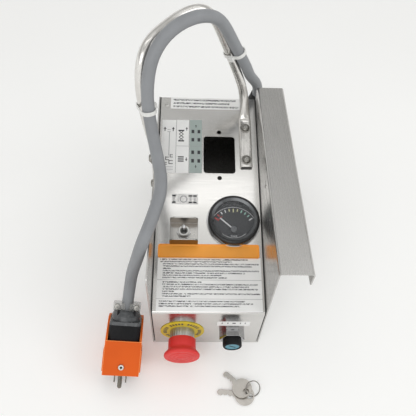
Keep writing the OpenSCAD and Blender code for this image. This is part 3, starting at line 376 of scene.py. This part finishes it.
# The front face is 82 mm high up to the fold, and the panel rises 68 mm over the box's 272 mm.
box_length = 272
fold_height = 82
panel_rise = 68
front_y = -box_length / 2
slope = math.atan2(panel_rise, box_length)
panel_turn = Matrix.Rotation(slope, 4, "X")
fold_line = Matrix.Translation((0, front_y * mm, fold_height * mm))


def on_panel(x, s):
    """The place x to the right and s up the slope from the fold, in mm."""
    return fold_line @ panel_turn @ Matrix.Translation((x * mm, s * mm, 0))


def turned_piece(name, outline, material, sides=64, bored=False, angle=30):
    """A round piece: the first ring is drawn out through the radii and heights of the outline."""
    radius, height = outline[0]
    bpy.ops.object.select_all(action="DESELECT")
    fill = "NOTHING" if bored else "NGON"
    bpy.ops.mesh.primitive_circle_add(
        vertices=sides, radius=radius * mm, fill_type=fill, location=(0, 0, height * mm)
    )
    piece = bpy.context.object
    piece.name = name
    bpy.ops.object.transform_apply(location=True, rotation=True, scale=True)
    bpy.ops.object.mode_set(mode="EDIT")
    bpy.ops.mesh.select_all(action="SELECT")
    steps = list(outline[1:])
    if bored:
        steps.append(outline[0])
    for new_radius, new_height in steps:
        rise = (new_height - height) * mm
        bpy.ops.mesh.extrude_region_move(TRANSFORM_OT_translate={"value": (0, 0, rise)})
        grow = new_radius / radius
        bpy.ops.transform.resize(value=(grow, grow, 1), center_override=(0, 0, new_height * mm))
        radius, height = new_radius, new_height
    bpy.ops.mesh.select_all(action="SELECT")
    bpy.ops.mesh.remove_doubles(threshold=0.002 * mm)
    bpy.ops.mesh.normals_make_consistent(inside=False)
    bpy.ops.object.mode_set(mode="OBJECT")
    piece.data.materials.append(material)
    bpy.ops.object.shade_smooth_by_angle(angle=math.radians(angle))
    return piece


zinc_steel = mottled_material(
    "zinc_steel", (0.52, 0.52, 0.50), (0.70, 0.70, 0.68), 160, 0.25, 0.45, metallic=1.0
)

rivet = turned_piece(
    "panel_rivet", [(2.4, 0), (2.4, 0.3), (1.9, 0.9), (1.1, 1.2), (0.8, 1.1), (0.7, 0.6)],
    zinc_steel, sides=32,
)
mount_at(on_panel(-53.3, 266.8), rivet, "housing", "zinc_steel")

# ---------------------------------------------------------------------------------------------
# Labels
# Five printed film labels: a ruled plate with an orange head, a narrow strip at the back, a plate
# of three columns, a row of symbols and a small strip for the key. They carry no words.


def printed_film(name, tint):
    """A film or ink with a fine grain in its gloss and a faint drift in its colour."""
    film = shader_material(name, tint, roughness=0.44)
    grain_to_roughness(film, add_grain(film, 260), 0.36, 0.52)
    grain_to_color(film, add_grain(film, 40), [0.95 * c for c in tint], [1.03 * c for c in tint])
    return film


film_white = printed_film("film_white", (0.87, 0.87, 0.86))
film_orange = printed_film("film_orange", (0.93, 0.38, 0.045))
film_green = printed_film("film_green", (0.36, 0.42, 0.40))
print_black = printed_film("print_black", (0.03, 0.03, 0.035))
print_gray = printed_film("print_gray", (0.36, 0.36, 0.37))

# Small print is a film on which a fine noise sets dark flecks.
small_print = shader_material("small_print", (0.5, 0.5, 0.5), roughness=0.45)
print_grain = add_grain(small_print, 1100, (1, 0.7, 0.7), detail=1.0)
grain_to_color(small_print, print_grain, (0.07, 0.07, 0.08), (0.84, 0.84, 0.83), 0.48, 0.58)


def film_piece(name, x0, x1, y0, y1, h0, h1, material, corner=0.0):
    """A flat slab between two corners, in mm, with its upright edges rounded."""
    bpy.ops.object.select_all(action="DESELECT")
    middle = ((x0 + x1) / 2 * mm, (y0 + y1) / 2 * mm, (h0 + h1) / 2 * mm)
    bpy.ops.mesh.primitive_cube_add(size=1, location=middle)
    piece = bpy.context.object
    piece.name = name
    piece.scale = ((x1 - x0) * mm, (y1 - y0) * mm, (h1 - h0) * mm)
    bpy.ops.object.transform_apply(location=True, rotation=True, scale=True)
    piece.data.materials.append(material)
    if corner:
        for edge in piece.data.edges:
            a, b = (piece.data.vertices[v].co for v in edge.vertices)
            edge.select = abs(a.x - b.x) + abs(a.y - b.y) < 0.001 * mm
        for vertex in piece.data.vertices:
            vertex.select = False
        for face in piece.data.polygons:
            face.select = False
        bpy.ops.object.mode_set(mode="EDIT")
        bpy.ops.mesh.select_mode(type="EDGE")
        bpy.ops.mesh.bevel(offset=corner * mm, segments=4, affect="EDGES")
        bpy.ops.object.mode_set(mode="OBJECT")
    return piece


def joined(name, pieces):
    """Several pieces become one, as print on a label does."""
    bpy.ops.object.select_all(action="DESELECT")
    for piece in pieces:
        piece.select_set(True)
    bpy.context.view_layer.objects.active = pieces[0]
    bpy.ops.object.join()
    pieces[0].name = name
    return pieces[0]


def label(name, place, pieces):
    mount_at(place, joined(name, pieces), "housing", "white_plastic")


film_top = 0.16
field_top = film_top - 0.02
ink_top = 0.19
at_fold = on_panel(0, 0)

# The ruled plate: an orange head and three fields of small print.
ruled = [
    film_piece("head", -57, 57.3, 61.4, 77.2, 0, film_top, film_orange, corner=2.2),
    film_piece("field", -56.8, 58.6, 1.6, 62.2, 0, field_top, film_white),
]
rule_rows = [
    (59.6, -54, 44), (57.0, -54, 26), (54.4, -51, 56), (51.8, -51, 48), (49.2, -51, -42),
    (46.6, -51, 56), (44.0, -51, 40), (41.4, -51, 14), (38.8, -51, 20),
    (33.8, -51, -8), (31.2, -51, 54), (28.6, -51, 44), (26.0, -51, 54), (23.4, -51, -38),
    (20.8, -51, 56), (18.2, -51, -20),
    (12.6, -54, 40), (10.0, -54, 48), (7.4, -54, 34),
]
for s, x0, x1 in rule_rows:
    ruled.append(film_piece("rule", x0, x1, s - 0.75, s + 0.75, field_top, ink_top, small_print))
for s in (36.3, 15.3):
    ruled.append(
        film_piece("divider", -56.8, 58.6, s - 0.2, s + 0.2, field_top, ink_top, print_gray)
    )
label("ruled_plate", at_fold, ruled)

# The strip at the back: white film with three rows of print.
strip = [film_piece("strip", -48.3, 43, 261.6, 278.6, 0, film_top, film_white)]
for row, x1 in enumerate((36, 28, 39)):
    s = 275.2 - 5.1 * row
    strip.append(film_piece("rule", -45, x1, s - 1.3, s + 1.3, film_top, ink_top, small_print))
label("back_strip", at_fold, strip)


def arrow(x, s, up, size, material):
    """A small printed arrow along the slope."""
    shaft = film_piece(
        "shaft", x - 0.35 * size, x + 0.35 * size, s - size, s + size, film_top, ink_top, material
    )
    bpy.ops.object.select_all(action="DESELECT")
    tip = s + up * 1.6 * size
    bpy.ops.mesh.primitive_cylinder_add(
        vertices=3, radius=1.3 * size * mm, depth=(ink_top - film_top) * mm,
        location=(x * mm, tip * mm, (ink_top + film_top) / 2 * mm),
        rotation=(0, 0, 0 if up > 0 else math.pi),
    )
    head = bpy.context.object
    bpy.ops.object.transform_apply(location=True, rotation=True, scale=True)
    head.data.materials.append(material)
    return [shaft, head]


def bars(x0, x1, rows, height, material):
    return [
        film_piece("bar", x0, x1, s - height / 2, s + height / 2, film_top, ink_top, material)
        for s in rows
    ]


# The three columns: plain symbols for steering, lifting and driving.
columns = [
    film_piece("column1", -58.4, -40.6, 168.4, 244, 0, film_top, film_white),
    film_piece("column2", -39.9, -24.4, 168.4, 244.4, 0, film_top, film_white),
    film_piece("column3", -23.4, -8.0, 168.6, 244.8, 0, film_top, film_green),
    film_piece("divide", -39.9, -24.4, 205.8, 206.3, film_top, ink_top, print_gray),
    film_piece("divide", -23.4, -8.0, 205.8, 206.3, film_top, ink_top, print_gray),
]
columns += arrow(-54.6, 229, 1, 1.6, print_black) + arrow(-44.2, 229, 1, 1.6, print_black)
columns += bars(-51.5, -47.3, (229.5, 226.5), 0.7, print_gray)
columns.append(film_piece("lever", -49.2, -48.4, 192, 226, film_top, ink_top, print_gray))
for x, s, size in (
    (-50.6, 188.5, 2.3), (-45.6, 192, 1.9), (-46.2, 183.5, 2.6), (-52.4, 181.5, 1.6),
):
    columns += bars(x - size, x - size + 0.9, (s,), 2 * size, print_black)
    columns += bars(x - size, x + size, (s - size, s + 0.6 * size), 0.9, print_black)
columns += bars(-53.5, -43, (176.4, 173.2), 0.6, print_gray)
for x in (-40.25, -23.9):
    columns.append(film_piece("edge", x - 0.25, x + 0.25, 168.4, 244, 0, film_top, print_gray))
columns += bars(-37.6, -30.4, (228.6, 213.4), 1.8, print_black)
for row in range(3):
    for lean in (-40, 40):
        arm = film_piece("arm", -3.6, 3.6, -0.4, 0.4, film_top, ink_top, print_black)
        spin(arm, lean)
        arm.data.transform(Matrix.Translation((-34 * mm, (225.6 - 4.6 * row) * mm, 0)))
        columns.append(arm)
columns += bars(-37.6, -30.4, (190.5, 187.6, 184.7), 1.7, print_black)
columns += arrow(-27.2, 230, 1, 1.3, print_black) + arrow(-27.2, 188.5, -1, 1.3, print_black)
for s in (227.4, 215.4, 197.4, 185.4):
    for x in (-19.4, -11.8):
        columns += bars(x - 1.7, x + 1.7, (s,), 5.0, print_black)
for s in (221.4, 191.4):
    for x in (-17.2, -14.0):
        columns += bars(x - 0.3, x + 0.3, (s,), 12, print_gray)
columns += arrow(-15.6, 234.4, 1, 1.1, print_black) + arrow(-15.6, 178.6, -1, 1.1, print_black)
label("column_plate", at_fold, columns)

# The row of symbols over the toggle: two folded stands and a dial, in plain shapes.
clear_film = shader_material("clear_film", (0.9, 0.9, 0.9), roughness=0.4)
set_shader(clear_film, "Alpha", 0.15)
grain_to_roughness(clear_film, add_grain(clear_film, 200), 0.35, 0.45)
symbols = [film_piece("row", -43.6, -12.2, 127, 140.6, 0, film_top / 2, clear_film, corner=1)]
for x in (-40.8, -16.2, -21.4):
    symbols += bars(x - 2.1, x + 2.1, (138.0, 129.6), 2.0, print_black)
    symbols += bars(x - 1.1, x + 1.1, (135.6, 133.8, 132), 0.9, print_gray)
symbols += bars(-36.2, -34.8, (136.4, 133.8, 131.2), 0.9, print_gray)
bpy.ops.object.select_all(action="DESELECT")
bpy.ops.mesh.primitive_torus_add(
    major_radius=4.0 * mm, minor_radius=0.6 * mm, major_segments=40, minor_segments=6,
    location=(-29.4 * mm, 133.8 * mm, 0.1 * mm),
)
ring_mark = bpy.context.object
bpy.ops.object.transform_apply(location=True, rotation=True, scale=True)
ring_mark.data.transform(Matrix.Diagonal((1, 1, 0.15, 1)))
ring_mark.data.materials.append(print_gray)
symbols.append(ring_mark)
label("symbol_row", at_fold, symbols)

# The strip over the key switch stands on the front face and carries five short marks.
front_turn = Matrix.Rotation(math.pi / 2, 4, "X")


def on_front(x, z):
    """The place on the front face x to the right and z above the base, in mm."""
    return Matrix.Translation((x * mm, front_y * mm, z * mm)) @ front_turn


key_strip = [film_piece("strip", 10.5, 47.2, 49.6, 60.6, 0, film_top, film_white, corner=1)]
for x in (16, 22.5, 36.5, 42):
    key_strip += bars(x - 0.5, x + 0.5, (56.6,), 3.4, print_black)
key_strip += bars(27.6, 31.2, (56.6,), 2.6, print_black)
label("key_strip", on_front(0, 0), key_strip)

# ---------------------------------------------------------------------------------------------
# Stop button
# A mushroom head of red plastic on a ring nut of machined aluminium, over a yellow ring that is
# printed with a circle of short marks. The head is turned to release it.
button_red = shader_material("button_red", (0.70, 0.03, 0.027), roughness=0.45)
button_grain = add_grain(button_red, 320)
grain_to_roughness(button_red, button_grain, 0.42, 0.58)
grain_to_bump(button_red, button_grain, 0.15, 0.06 * mm)
grain_to_color(button_red, add_grain(button_red, 30), (0.66, 0.026, 0.023), (0.74, 0.036, 0.032))
ring_yellow = mottled_material(
    "ring_yellow", (0.64, 0.49, 0.018), (0.72, 0.56, 0.025), 240, 0.38, 0.55
)
machined = mottled_material(
    "machined_aluminium", (0.46, 0.46, 0.45), (0.58, 0.58, 0.57), 60, 0.3, 0.44, metallic=1.0,
    stretch=(1, 30, 1),
)

control_height = 35
stop_place = on_front(-28.4, control_height)
button_outline = [
    (14.2, 17.3), (14.2, 11.7), (14.4, 11.3), (15.1, 11.3), (15.5, 11.7), (15.5, 20.6),
    (15.62, 22.0), (16.0, 23.2), (16.7, 24.4), (17.7, 25.6), (18.8, 26.8), (19.6, 27.8),
    (19.95, 28.7), (20.0, 29.6), (19.8, 30.4), (19.3, 31.0), (18.5, 31.35), (17.2, 31.5),
    (15.5, 31.65), (15.2, 31.45), (14.8, 31.45), (14.5, 31.75), (11.0, 32.0), (10.7, 31.8),
    (10.3, 31.8), (10.0, 32.05), (6.5, 32.2), (6.2, 32.0), (5.8, 32.0), (5.5, 32.22),
    (0.4, 32.3),
]
button = turned_piece("stop_head_turned", button_outline, button_red, sides=96, angle=50)
mount_at(stop_place, button, "stop_head", "red_plastic", "stop_button")

yellow = turned_piece(
    "stop_ring_printed",
    [(11.3, 0), (24.7, 0), (25, 0.25), (25, 0.75), (24.7, 1), (11.3, 1)], ring_yellow,
    sides=96, bored=True,
)
marks = [yellow]
for step in range(36):
    # Every sixth place is a gap between two groups of marks.
    if step % 6 == 5:
        continue
    mark = film_piece("mark", -1.05, 1.05, 17.8, 21.8, 1.0, 1.04, print_black)
    spin(mark, step * 10)
    marks.append(mark)
printed_ring = joined("stop_ring_printed", marks)
mount_at(stop_place, printed_ring, "housing", "yellow_plastic", "stop_ring")

mount_copy("stop_ring_nut", machined, "aluminium", 0.15 * mm)
mount_copy("stop_sleeve", machined, "aluminium", 0.3 * mm)

black_plastic = shader_material("black_plastic", (0.012, 0.012, 0.013), roughness=0.4)
set_shader(black_plastic, "Specular IOR Level", 0.15)
plastic_grain = add_grain(black_plastic, 420)
grain_to_roughness(black_plastic, plastic_grain, 0.38, 0.58)
grain_to_bump(black_plastic, plastic_grain, 0.2, 0.05 * mm)
plastic_mottle = add_grain(black_plastic, 50)
grain_to_color(black_plastic, plastic_mottle, (0.006, 0.006, 0.007), (0.012, 0.012, 0.013))
for node in ("stop_stem", "stop_contact_block", "key_contact_block"):
    dress(node, black_plastic)

# ---------------------------------------------------------------------------------------------
# Key switch
# A round lock behind a chromed hexagon nut, with a black collar and a blue-green core that turns
# with the key. The collar is moulded with a fine grip round its edge.
chrome = mottled_material(
    "chrome_plate", (0.53, 0.53, 0.535), (0.63, 0.63, 0.63), 90, 0.1, 0.2, metallic=1.0
)
core_teal = mottled_material("core_teal", (0.055, 0.24, 0.32), (0.085, 0.3, 0.39), 300, 0.28, 0.45)

key_place = on_front(28.4, control_height)
nut_chrome = mottled_material(
    "nut_chrome", (0.35, 0.35, 0.36), (0.45, 0.45, 0.455), 90, 0.08, 0.17, metallic=1.0
)
mount_copy("key_switch_nut", nut_chrome, "chrome", 0.5 * mm, 3)
collar = turned_piece(
    "key_collar_turned",
    [(8.05, 11), (10.4, 11), (10.65, 11.3), (10.65, 12.2), (10.2, 12.4), (10.2, 13.0),
     (10.65, 13.2), (10.65, 18.3), (10.4, 18.9), (9.6, 19.5), (8.5, 19.5), (8.05, 19.2)],
    black_plastic, sides=72, bored=True,
)
collar.data.transform(key_place)
grips = [collar]
for step in range(24):
    grip = film_piece("grip", -0.35, 0.35, 10.5, 10.85, 13.8, 17.8, black_plastic)
    spin(grip, step * 15)
    grip.data.transform(key_place)
    grips.append(grip)
mount_piece(joined("key_collar_turned", grips), "housing", "dark_plastic", "key_switch_collar")
mount_copy("key_switch_core", core_teal, "teal_plastic", 0.2 * mm, body="lock_core")
# A black block fills the key slot, painted shade in its depth.
keyway_shade_block = film_piece("key_slot_shade_block", -4.4, 4.4, -0.88, 0.88, 14, 18.78, black_plastic)
spin(keyway_shade_block, -32)
mount_at(key_place, keyway_shade_block, "lock_core", "dark_plastic")
dress("key_switch_barrel", black_plastic)

# ---------------------------------------------------------------------------------------------
# Gauge
# A round charge gauge: black bezel, flat glass, a dark dial with a scale and a white needle on a
# low pivot. It is held behind the panel by a stirrup and two nuts.
bezel_black = shader_material("bezel_black", (0.012, 0.012, 0.013), roughness=0.22)
bezel_grain = add_grain(bezel_black, 200)
grain_to_roughness(bezel_black, bezel_grain, 0.16, 0.3)
dial_gray = mottled_material(
    "dial_gray", (0.04, 0.042, 0.045), (0.055, 0.057, 0.06), 500, 0.5, 0.7
)


def dial_paint(name, tint):
    paint = shader_material(name, tint, roughness=0.5)
    dark, light = [0.95 * c for c in tint], [1.02 * c for c in tint]
    grain_to_color(paint, add_grain(paint, 400), dark, light)
    return paint


dial_white = dial_paint("dial_white", (0.82, 0.83, 0.84))
dial_red = dial_paint("dial_red", (0.72, 0.05, 0.04))
dial_yellow = dial_paint("dial_yellow", (0.75, 0.74, 0.42))
dial_green = dial_paint("dial_green", (0.42, 0.74, 0.62))
lens_glass = shader_material("lens_glass", (0.3, 0.31, 0.33), roughness=0.03)
set_shader(lens_glass, "Alpha", 0.08)
grain_to_roughness(lens_glass, add_grain(lens_glass, 60), 0.01, 0.06)

gauge_x = 29
gauge_place = on_panel(gauge_x, 106.2)
pivot_place = on_panel(gauge_x, 95.2)
bezel = turned_piece(
    "gauge_bezel_turned",
    [(26.05, 0), (29.6, 0), (30, 0.4), (30, 6.2), (29.8, 7.2), (29.2, 8.2), (28.2, 8.85),
     (27.2, 9.0), (26.4, 8.8), (24.2, 7.6), (23.5, 7.3), (23.5, 7.05), (26.05, 7.05)],
    bezel_black, sides=96, bored=True,
)
mount_at(gauge_place, bezel, "housing", "bezel_black", "gauge_bezel")

# The sloping inner edge of the bezel is a satin grey ring.
ring_satin = mottled_material(
    "ring_satin", (0.12, 0.125, 0.13), (0.18, 0.185, 0.19), 150, 0.25, 0.38, metallic=1.0
)
inner_ring = turned_piece(
    "gauge_inner_ring", [(23.3, 7.15), (26.3, 8.65), (26.25, 8.95), (23.3, 7.45)], ring_satin,
    sides=96, bored=True,
)
mount_at(gauge_place, inner_ring, "housing", "bezel_black")

# The thin chromed ring under the bezel is pressed from sheet and sits on the panel.
seat_ring = turned_piece(
    "gauge_seat_ring", [(30.02, 0), (31.2, 0), (31.3, 0.5), (30.9, 0.9), (30.02, 0.9)], chrome,
    sides=96, bored=True,
)
mount_at(gauge_place, seat_ring, "housing", "chrome")

dial_top = 1.4


def dial_mark(angle, radius, length, width, paint, middle=-11):
    """A printed mark on the dial, length along the radius, turned about the scale's middle."""
    mark = film_piece(
        "mark", radius - length, radius, -width / 2, width / 2, dial_top, dial_top + 0.06, paint
    )
    spin(mark, angle)
    mark.data.transform(Matrix.Translation((0, middle * mm, 0)))
    return mark


ticks = []
tick_paints = [dial_red, dial_red, dial_white, dial_white] + [dial_yellow] * 3
tick_paints += [dial_green] * 3 + [dial_white]
for step, paint in enumerate(tick_paints):
    ticks.append(dial_mark(146 - step * 11.2, 26.5, 4.6 if step % 5 == 0 else 3.4, 1.3, paint))
for step in range(38):
    ticks.append(dial_mark(147.5 - step * 3.1, 28.6, 0.5, 1.7, dial_white))
for step in range(6):
    ticks.append(dial_mark(146 - step * 3.1, 21.6, 0.9, 1.4, dial_red))
for step in range(16):
    ticks.append(dial_mark(232 + step * 5.1, 21.0, 0.6, 2.0, dial_white, middle=0))
for step in range(4):
    ticks.append(dial_mark(261 + step * 6, 19.4, 1.3, 1.2, dial_white, middle=0))
scale = joined("gauge_scale", ticks)
mount_at(gauge_place, scale, "housing", "white_plastic")
dress("gauge_dial", dial_gray)
dress("gauge_lens", lens_glass)
dress("gauge_spindle", zinc_steel)

# The needle is pressed white plastic on a dark hub.
hub = turned_piece(
    "needle_hub", [(4, 2.45), (4, 3.6), (3.7, 3.95), (2.0, 4.1), (0.3, 4.1)], ring_satin, sides=48
)
mount_at(pivot_place, hub, "needle", "dial_black")
pointer = film_piece("needle_pointer", 1.0, 21.0, -0.7, 0.7, 2.45, 3.1, dial_white)
spin(pointer, 138)
mount_at(pivot_place, pointer, "needle", "white_plastic", "gauge_needle")
mount_copy("gauge_can", zinc_steel, "zinc_steel", 0.5 * mm)
mount_copy("gauge_clamp", zinc_steel, "zinc_steel", 0.3 * mm)
brass = mottled_material(
    "brass", (0.62, 0.45, 0.18), (0.78, 0.6, 0.28), 120, 0.2, 0.4, metallic=1.0
)
for node in ("gauge_clamp_nuts", "terminal_screws"):
    dress(node, brass)

# ---------------------------------------------------------------------------------------------
# Toggle switch
# A chromed bat lever in a threaded bushing with a hexagon nut, between the two ears of a folded
# stainless guard. Its base is polished; the ears' faces are dark brown, a painted shade.
guard_steel = mottled_material(
    "guard_steel", (0.414, 0.405, 0.387), (0.506, 0.495, 0.473), 60, 0.16, 0.28, metallic=1.0
)
# The ears' dark brown is painted shade, not the steel's own colour.
ear_painted_shade = mottled_material(
    "ear_painted_shade", (0.153, 0.1305, 0.108), (0.187, 0.1595, 0.132), 60, 0.16, 0.28, metallic=1.0
)
guard = finished_copy("toggle_guard", guard_steel, 0.35 * mm, 3)
guard.data.materials.append(ear_painted_shade)
up_slope = Vector((0, math.cos(slope), math.sin(slope)))
# The faces across the slope, which are the ears, get the painted shade.
for face in guard.data.polygons:
    if abs(face.normal.dot(up_slope)) > 0.9:
        face.material_index = 1
mount_piece(guard, "housing", "stainless", "toggle_guard")
mount_copy("toggle_nut", chrome, "chrome", 0.35 * mm)
mount_copy("toggle_switch", zinc_steel, "zinc_steel", 0.2 * mm)
toggle_place = on_panel(-28.3, 90.7)
threads = []
for step in range(5):
    base = 4.3 + step
    thread = turned_piece(
        "thread", [(5.95, base), (6.35, base + 0.3), (6.35, base + 0.45), (5.95, base + 0.75)],
        zinc_steel, sides=48, bored=True,
    )
    threads.append(thread)
mount_at(toggle_place, joined("toggle_thread", threads), "housing", "zinc_steel")
lever = turned_piece(
    "toggle_bat",
    [(0.6, 0.6), (1.9, 1.2), (2.8, 2.5), (3.0, 3.5), (2.75, 4.8), (1.9, 5.9), (1.4, 6.5),
     (1.4, 9.5), (1.5, 12.0), (1.8, 15.0), (2.15, 18.0), (2.45, 20.6), (2.5, 21.4),
     (2.35, 22.3), (1.9, 23.0), (1.2, 23.4), (0.4, 23.5)],
    chrome, sides=48, angle=60,
)
mount_at(toggle_place, lever, "lever", "chrome", "toggle_lever")

# ---------------------------------------------------------------------------------------------
# Handle
# One length of stainless tube, bent into a leaning hoop and pressed flat at both ends, where two
# screws hold each foot. The bends are polished brighter than the sheet.
tube_steel = mottled_material(
    "tube_steel", (0.66, 0.64, 0.61), (0.78, 0.765, 0.74), 45, 0.14, 0.3, metallic=1.0
)
mount_copy("handle", tube_steel, "stainless", 0, angle=32)

screw_steel = mottled_material(
    "screw_steel", (0.24, 0.23, 0.21), (0.36, 0.35, 0.33), 160, 0.22, 0.38, metallic=1.0
)
left_turn = Matrix.Rotation(-math.pi / 2, 4, "Y")


def facing_left(x, y, z):
    return Matrix.Translation((x * mm, y * mm, z * mm)) @ left_turn


screw_places = []
screw_pitch = 45.4
for step in (0, screw_pitch):
    screw_places.append(facing_left(-63.5, 32, 97.6 + step))
    screw_places.append(on_panel(46.5, 185.9 + step))
# One more screw of the kind holds the terminal block's earth lead to the left side plate.
screw_places.append(facing_left(-59.5, -20, 123))
screws = []
for place in screw_places:
    head = turned_piece(
        "screw",
        [(3.0, 0.2), (3.0, 4.02), (6.4, 4.02), (6.5, 4.3), (6.4, 4.7), (5.1, 4.8), (5.05, 5.4),
         (4.8, 6.3), (4.2, 7.1), (3.2, 7.6), (1.9, 7.7), (1.8, 6.2), (0.3, 6.1)],
        screw_steel, sides=40,
    )
    head.data.transform(place)
    screws.append(head)
mount_piece(joined("handle_screw_heads", screws), "housing", "zinc_steel")
for node in ("handle_screws", "handle_nuts", "side_screw"):
    dress(node, zinc_steel)
# The tube is pressed flat. Its open end on the right foot is a thin black piece, painted shade in
# the slot.
foot_end_shade = film_piece("foot_end_shade", 40, 53, 176.2, 176.5, 0.5, 3.3, black_plastic)
mount_at(at_fold, foot_end_shade, "housing", "dark_plastic")

# ---------------------------------------------------------------------------------------------
# Elbow, locknut and ties
# The lead enters the rear cover through a black angled cord grip. Two white nylon ties hold the
# lead to the handle.
tie_nylon = mottled_material("tie_nylon", (0.72, 0.72, 0.70), (0.82, 0.82, 0.80), 300, 0.32, 0.5)
mount_copy("cord_elbow", black_plastic, "dark_plastic", 0.6 * mm)
dress("cord_locknut", zinc_steel)
# The strain relief is a tapered rubber sleeve, 33 mm long, on the lead where it leaves the grip.
relief = round_run("strain_relief", lead_points[:5], seal_rubber, (1.8, 1.75, 1.45, 1.15, 0.95))
for node in ("tie_left", "tie_right"):
    mount_copy(node, tie_nylon, "white_plastic", 0.2 * mm)

# ---------------------------------------------------------------------------------------------
# Plug
# A straight-blade plug: black body, smoky cap, a clear clamp with two screws on the lead and
# nickel-plated blades. An orange printed sleeve is screwed round it as a blade guard.
sleeve_orange = shader_material("sleeve_orange", (0.66, 0.10, 0.008), roughness=0.5)
set_shader(sleeve_orange, "Specular IOR Level", 0.2)
sleeve_layers = add_grain(sleeve_orange, 30, (1, 1, 90), (math.radians(50), 0, 0))
grain_to_roughness(sleeve_orange, sleeve_layers, 0.42, 0.6)
grain_to_bump(sleeve_orange, sleeve_layers, 0.25, 0.12 * mm)
sleeve_mottle = add_grain(sleeve_orange, 24)
grain_to_color(sleeve_orange, sleeve_mottle, (0.68, 0.10, 0.007), (0.76, 0.12, 0.01))
# The sleeve's broken edges get a lighter orange, a painted highlight along them.
sleeve_edge_highlight = mottled_material("sleeve_edge_highlight", (0.92, 0.29, 0.07), (1.0, 0.36, 0.1), 40, 0.45, 0.6)
cap_smoke = mottled_material(
    "cap_smoke", (0.07, 0.075, 0.08), (0.105, 0.11, 0.115), 200, 0.16, 0.3
)
set_shader(cap_smoke, "Alpha", 0.85)
clamp_clear = mottled_material(
    "clamp_clear", (0.38, 0.38, 0.37), (0.52, 0.52, 0.5), 130, 0.1, 0.22
)
set_shader(clamp_clear, "Alpha", 0.4)
blade_nickel = mottled_material(
    "blade_nickel", (0.14, 0.13, 0.11), (0.22, 0.2, 0.17), 120, 0.22, 0.38, metallic=1.0
)

for node, material, slot, edge, rim in (
    ("plug_body", black_plastic, "dark_plastic", 0.8, None),
    ("plug_clamp", clamp_clear, "zinc_steel", 0.6, None),
    ("plug_blades", blade_nickel, "brass", 0.3, None),
    ("plug_sleeve", sleeve_orange, "orange_plastic", 0.5, sleeve_edge_highlight),
    ("sleeve_screw", zinc_steel, "zinc_steel", 0.3, None),
):
    mount_copy(node, material, slot, edge * mm, 3, rim=rim)

# The plug's own axis runs from the blades up the last stretch of the lead.
plug_up = (lead_points[-3] - lead_points[-2]).normalized()
plug_tilt = Matrix.Rotation(-math.acos(plug_up.z), 4, "X")
plug_turn = Matrix.Rotation(math.atan2(-plug_up.x, plug_up.y), 4, "Z")
plug_roll = Matrix.Rotation(math.radians(9), 4, "Z")
plug_place = (
    Matrix.Translation(lead_points[-2]) @ plug_turn @ plug_tilt @ plug_roll
    @ Matrix.Translation((0, 0, -59.5 * mm))
)
# A flange closes the body. The cap on it is a ring that stands open round the lead.
flange = film_piece("plug_flange", -16.9, 16.9, -16.9, 16.9, 50.5, 54.3, cap_smoke, corner=4)
cap_ring = turned_piece(
    "plug_cap_turned",
    [(15.6, 54.1), (16, 54.5), (16, 59.2), (15.7, 59.7), (13.9, 64.5), (13.3, 65), (10.3, 65),
     (9.9, 64.6), (9.3, 59.45), (0.4, 59.4)],
    cap_smoke, sides=64,
)
notches = [
    film_piece("notch", side * 8.6 - 1.3, side * 8.6 + 1.3, -12.4, -5, 60.6, 65.15, black_plastic)
    for side in (-1, 1)
]
# The screws of the clamp, and a flat black cross on the sleeve's screw that is painted shade in
# its recess.
clamp_screws = []
for side in (-1, 1):
    screw = turned_piece(
        "clamp_screw", [(3.25, 6.9), (3.25, 8.6), (2.8, 9.3), (1.2, 9.5), (1.1, 8.6), (0.3, 8.6)],
        screw_steel, sides=32,
    )
    screw.data.transform(Matrix.Rotation(math.pi / 2, 4, "X"))
    screw.data.transform(Matrix.Translation((side * 10.5 * mm, 0, 69 * mm)))
    clamp_screws.append(screw)
# The cross is painted shade: flat black strips in place of the recess.
cross = [
    film_piece("cross", -1.7, 1.7, -21.5, -21.2, 6.2, 7.0, black_plastic),
    film_piece("cross", -0.4, 0.4, -21.5, -21.2, 4.9, 8.3, black_plastic),
]
for piece, slot, nodes in (
    (flange, "clear_plastic", ()), (cap_ring, "clear_plastic", ("plug_cap",)),
    (joined("plug_notches", notches), "dark_plastic", ()),
    (joined("clamp_screws", clamp_screws), "zinc_steel", ()),
    (joined("screw_cross", cross), "dark_plastic", ()),
):
    mount_at(plug_place, piece, "housing", slot, *nodes)

# ---------------------------------------------------------------------------------------------
# Inside of the box
# A white terminal block with brass screws stands on the base pan, seen only through the opening.
block_white = mottled_material("block_white", (0.5, 0.49, 0.45), (0.6, 0.59, 0.55), 150, 0.4, 0.6)
dress("terminal_block", block_white)

# ---------------------------------------------------------------------------------------------
# Keys
# Two flat nickel-plated keys on a split ring of spring wire lie on the table in front of the
# box. They are stamped from sheet, and their edges are worn round.
key_nickel = mottled_material(
    "key_nickel", (0.52, 0.49, 0.45), (0.64, 0.61, 0.57), 110, 0.3, 0.42, metallic=1.0
)
for node in ("key_long", "key_short"):
    mount_copy(node, key_nickel, "chrome", 0.3 * mm, 2, body="keys")
mount_copy("key_ring", screw_steel, "chrome", 0, angle=60, body="keys")
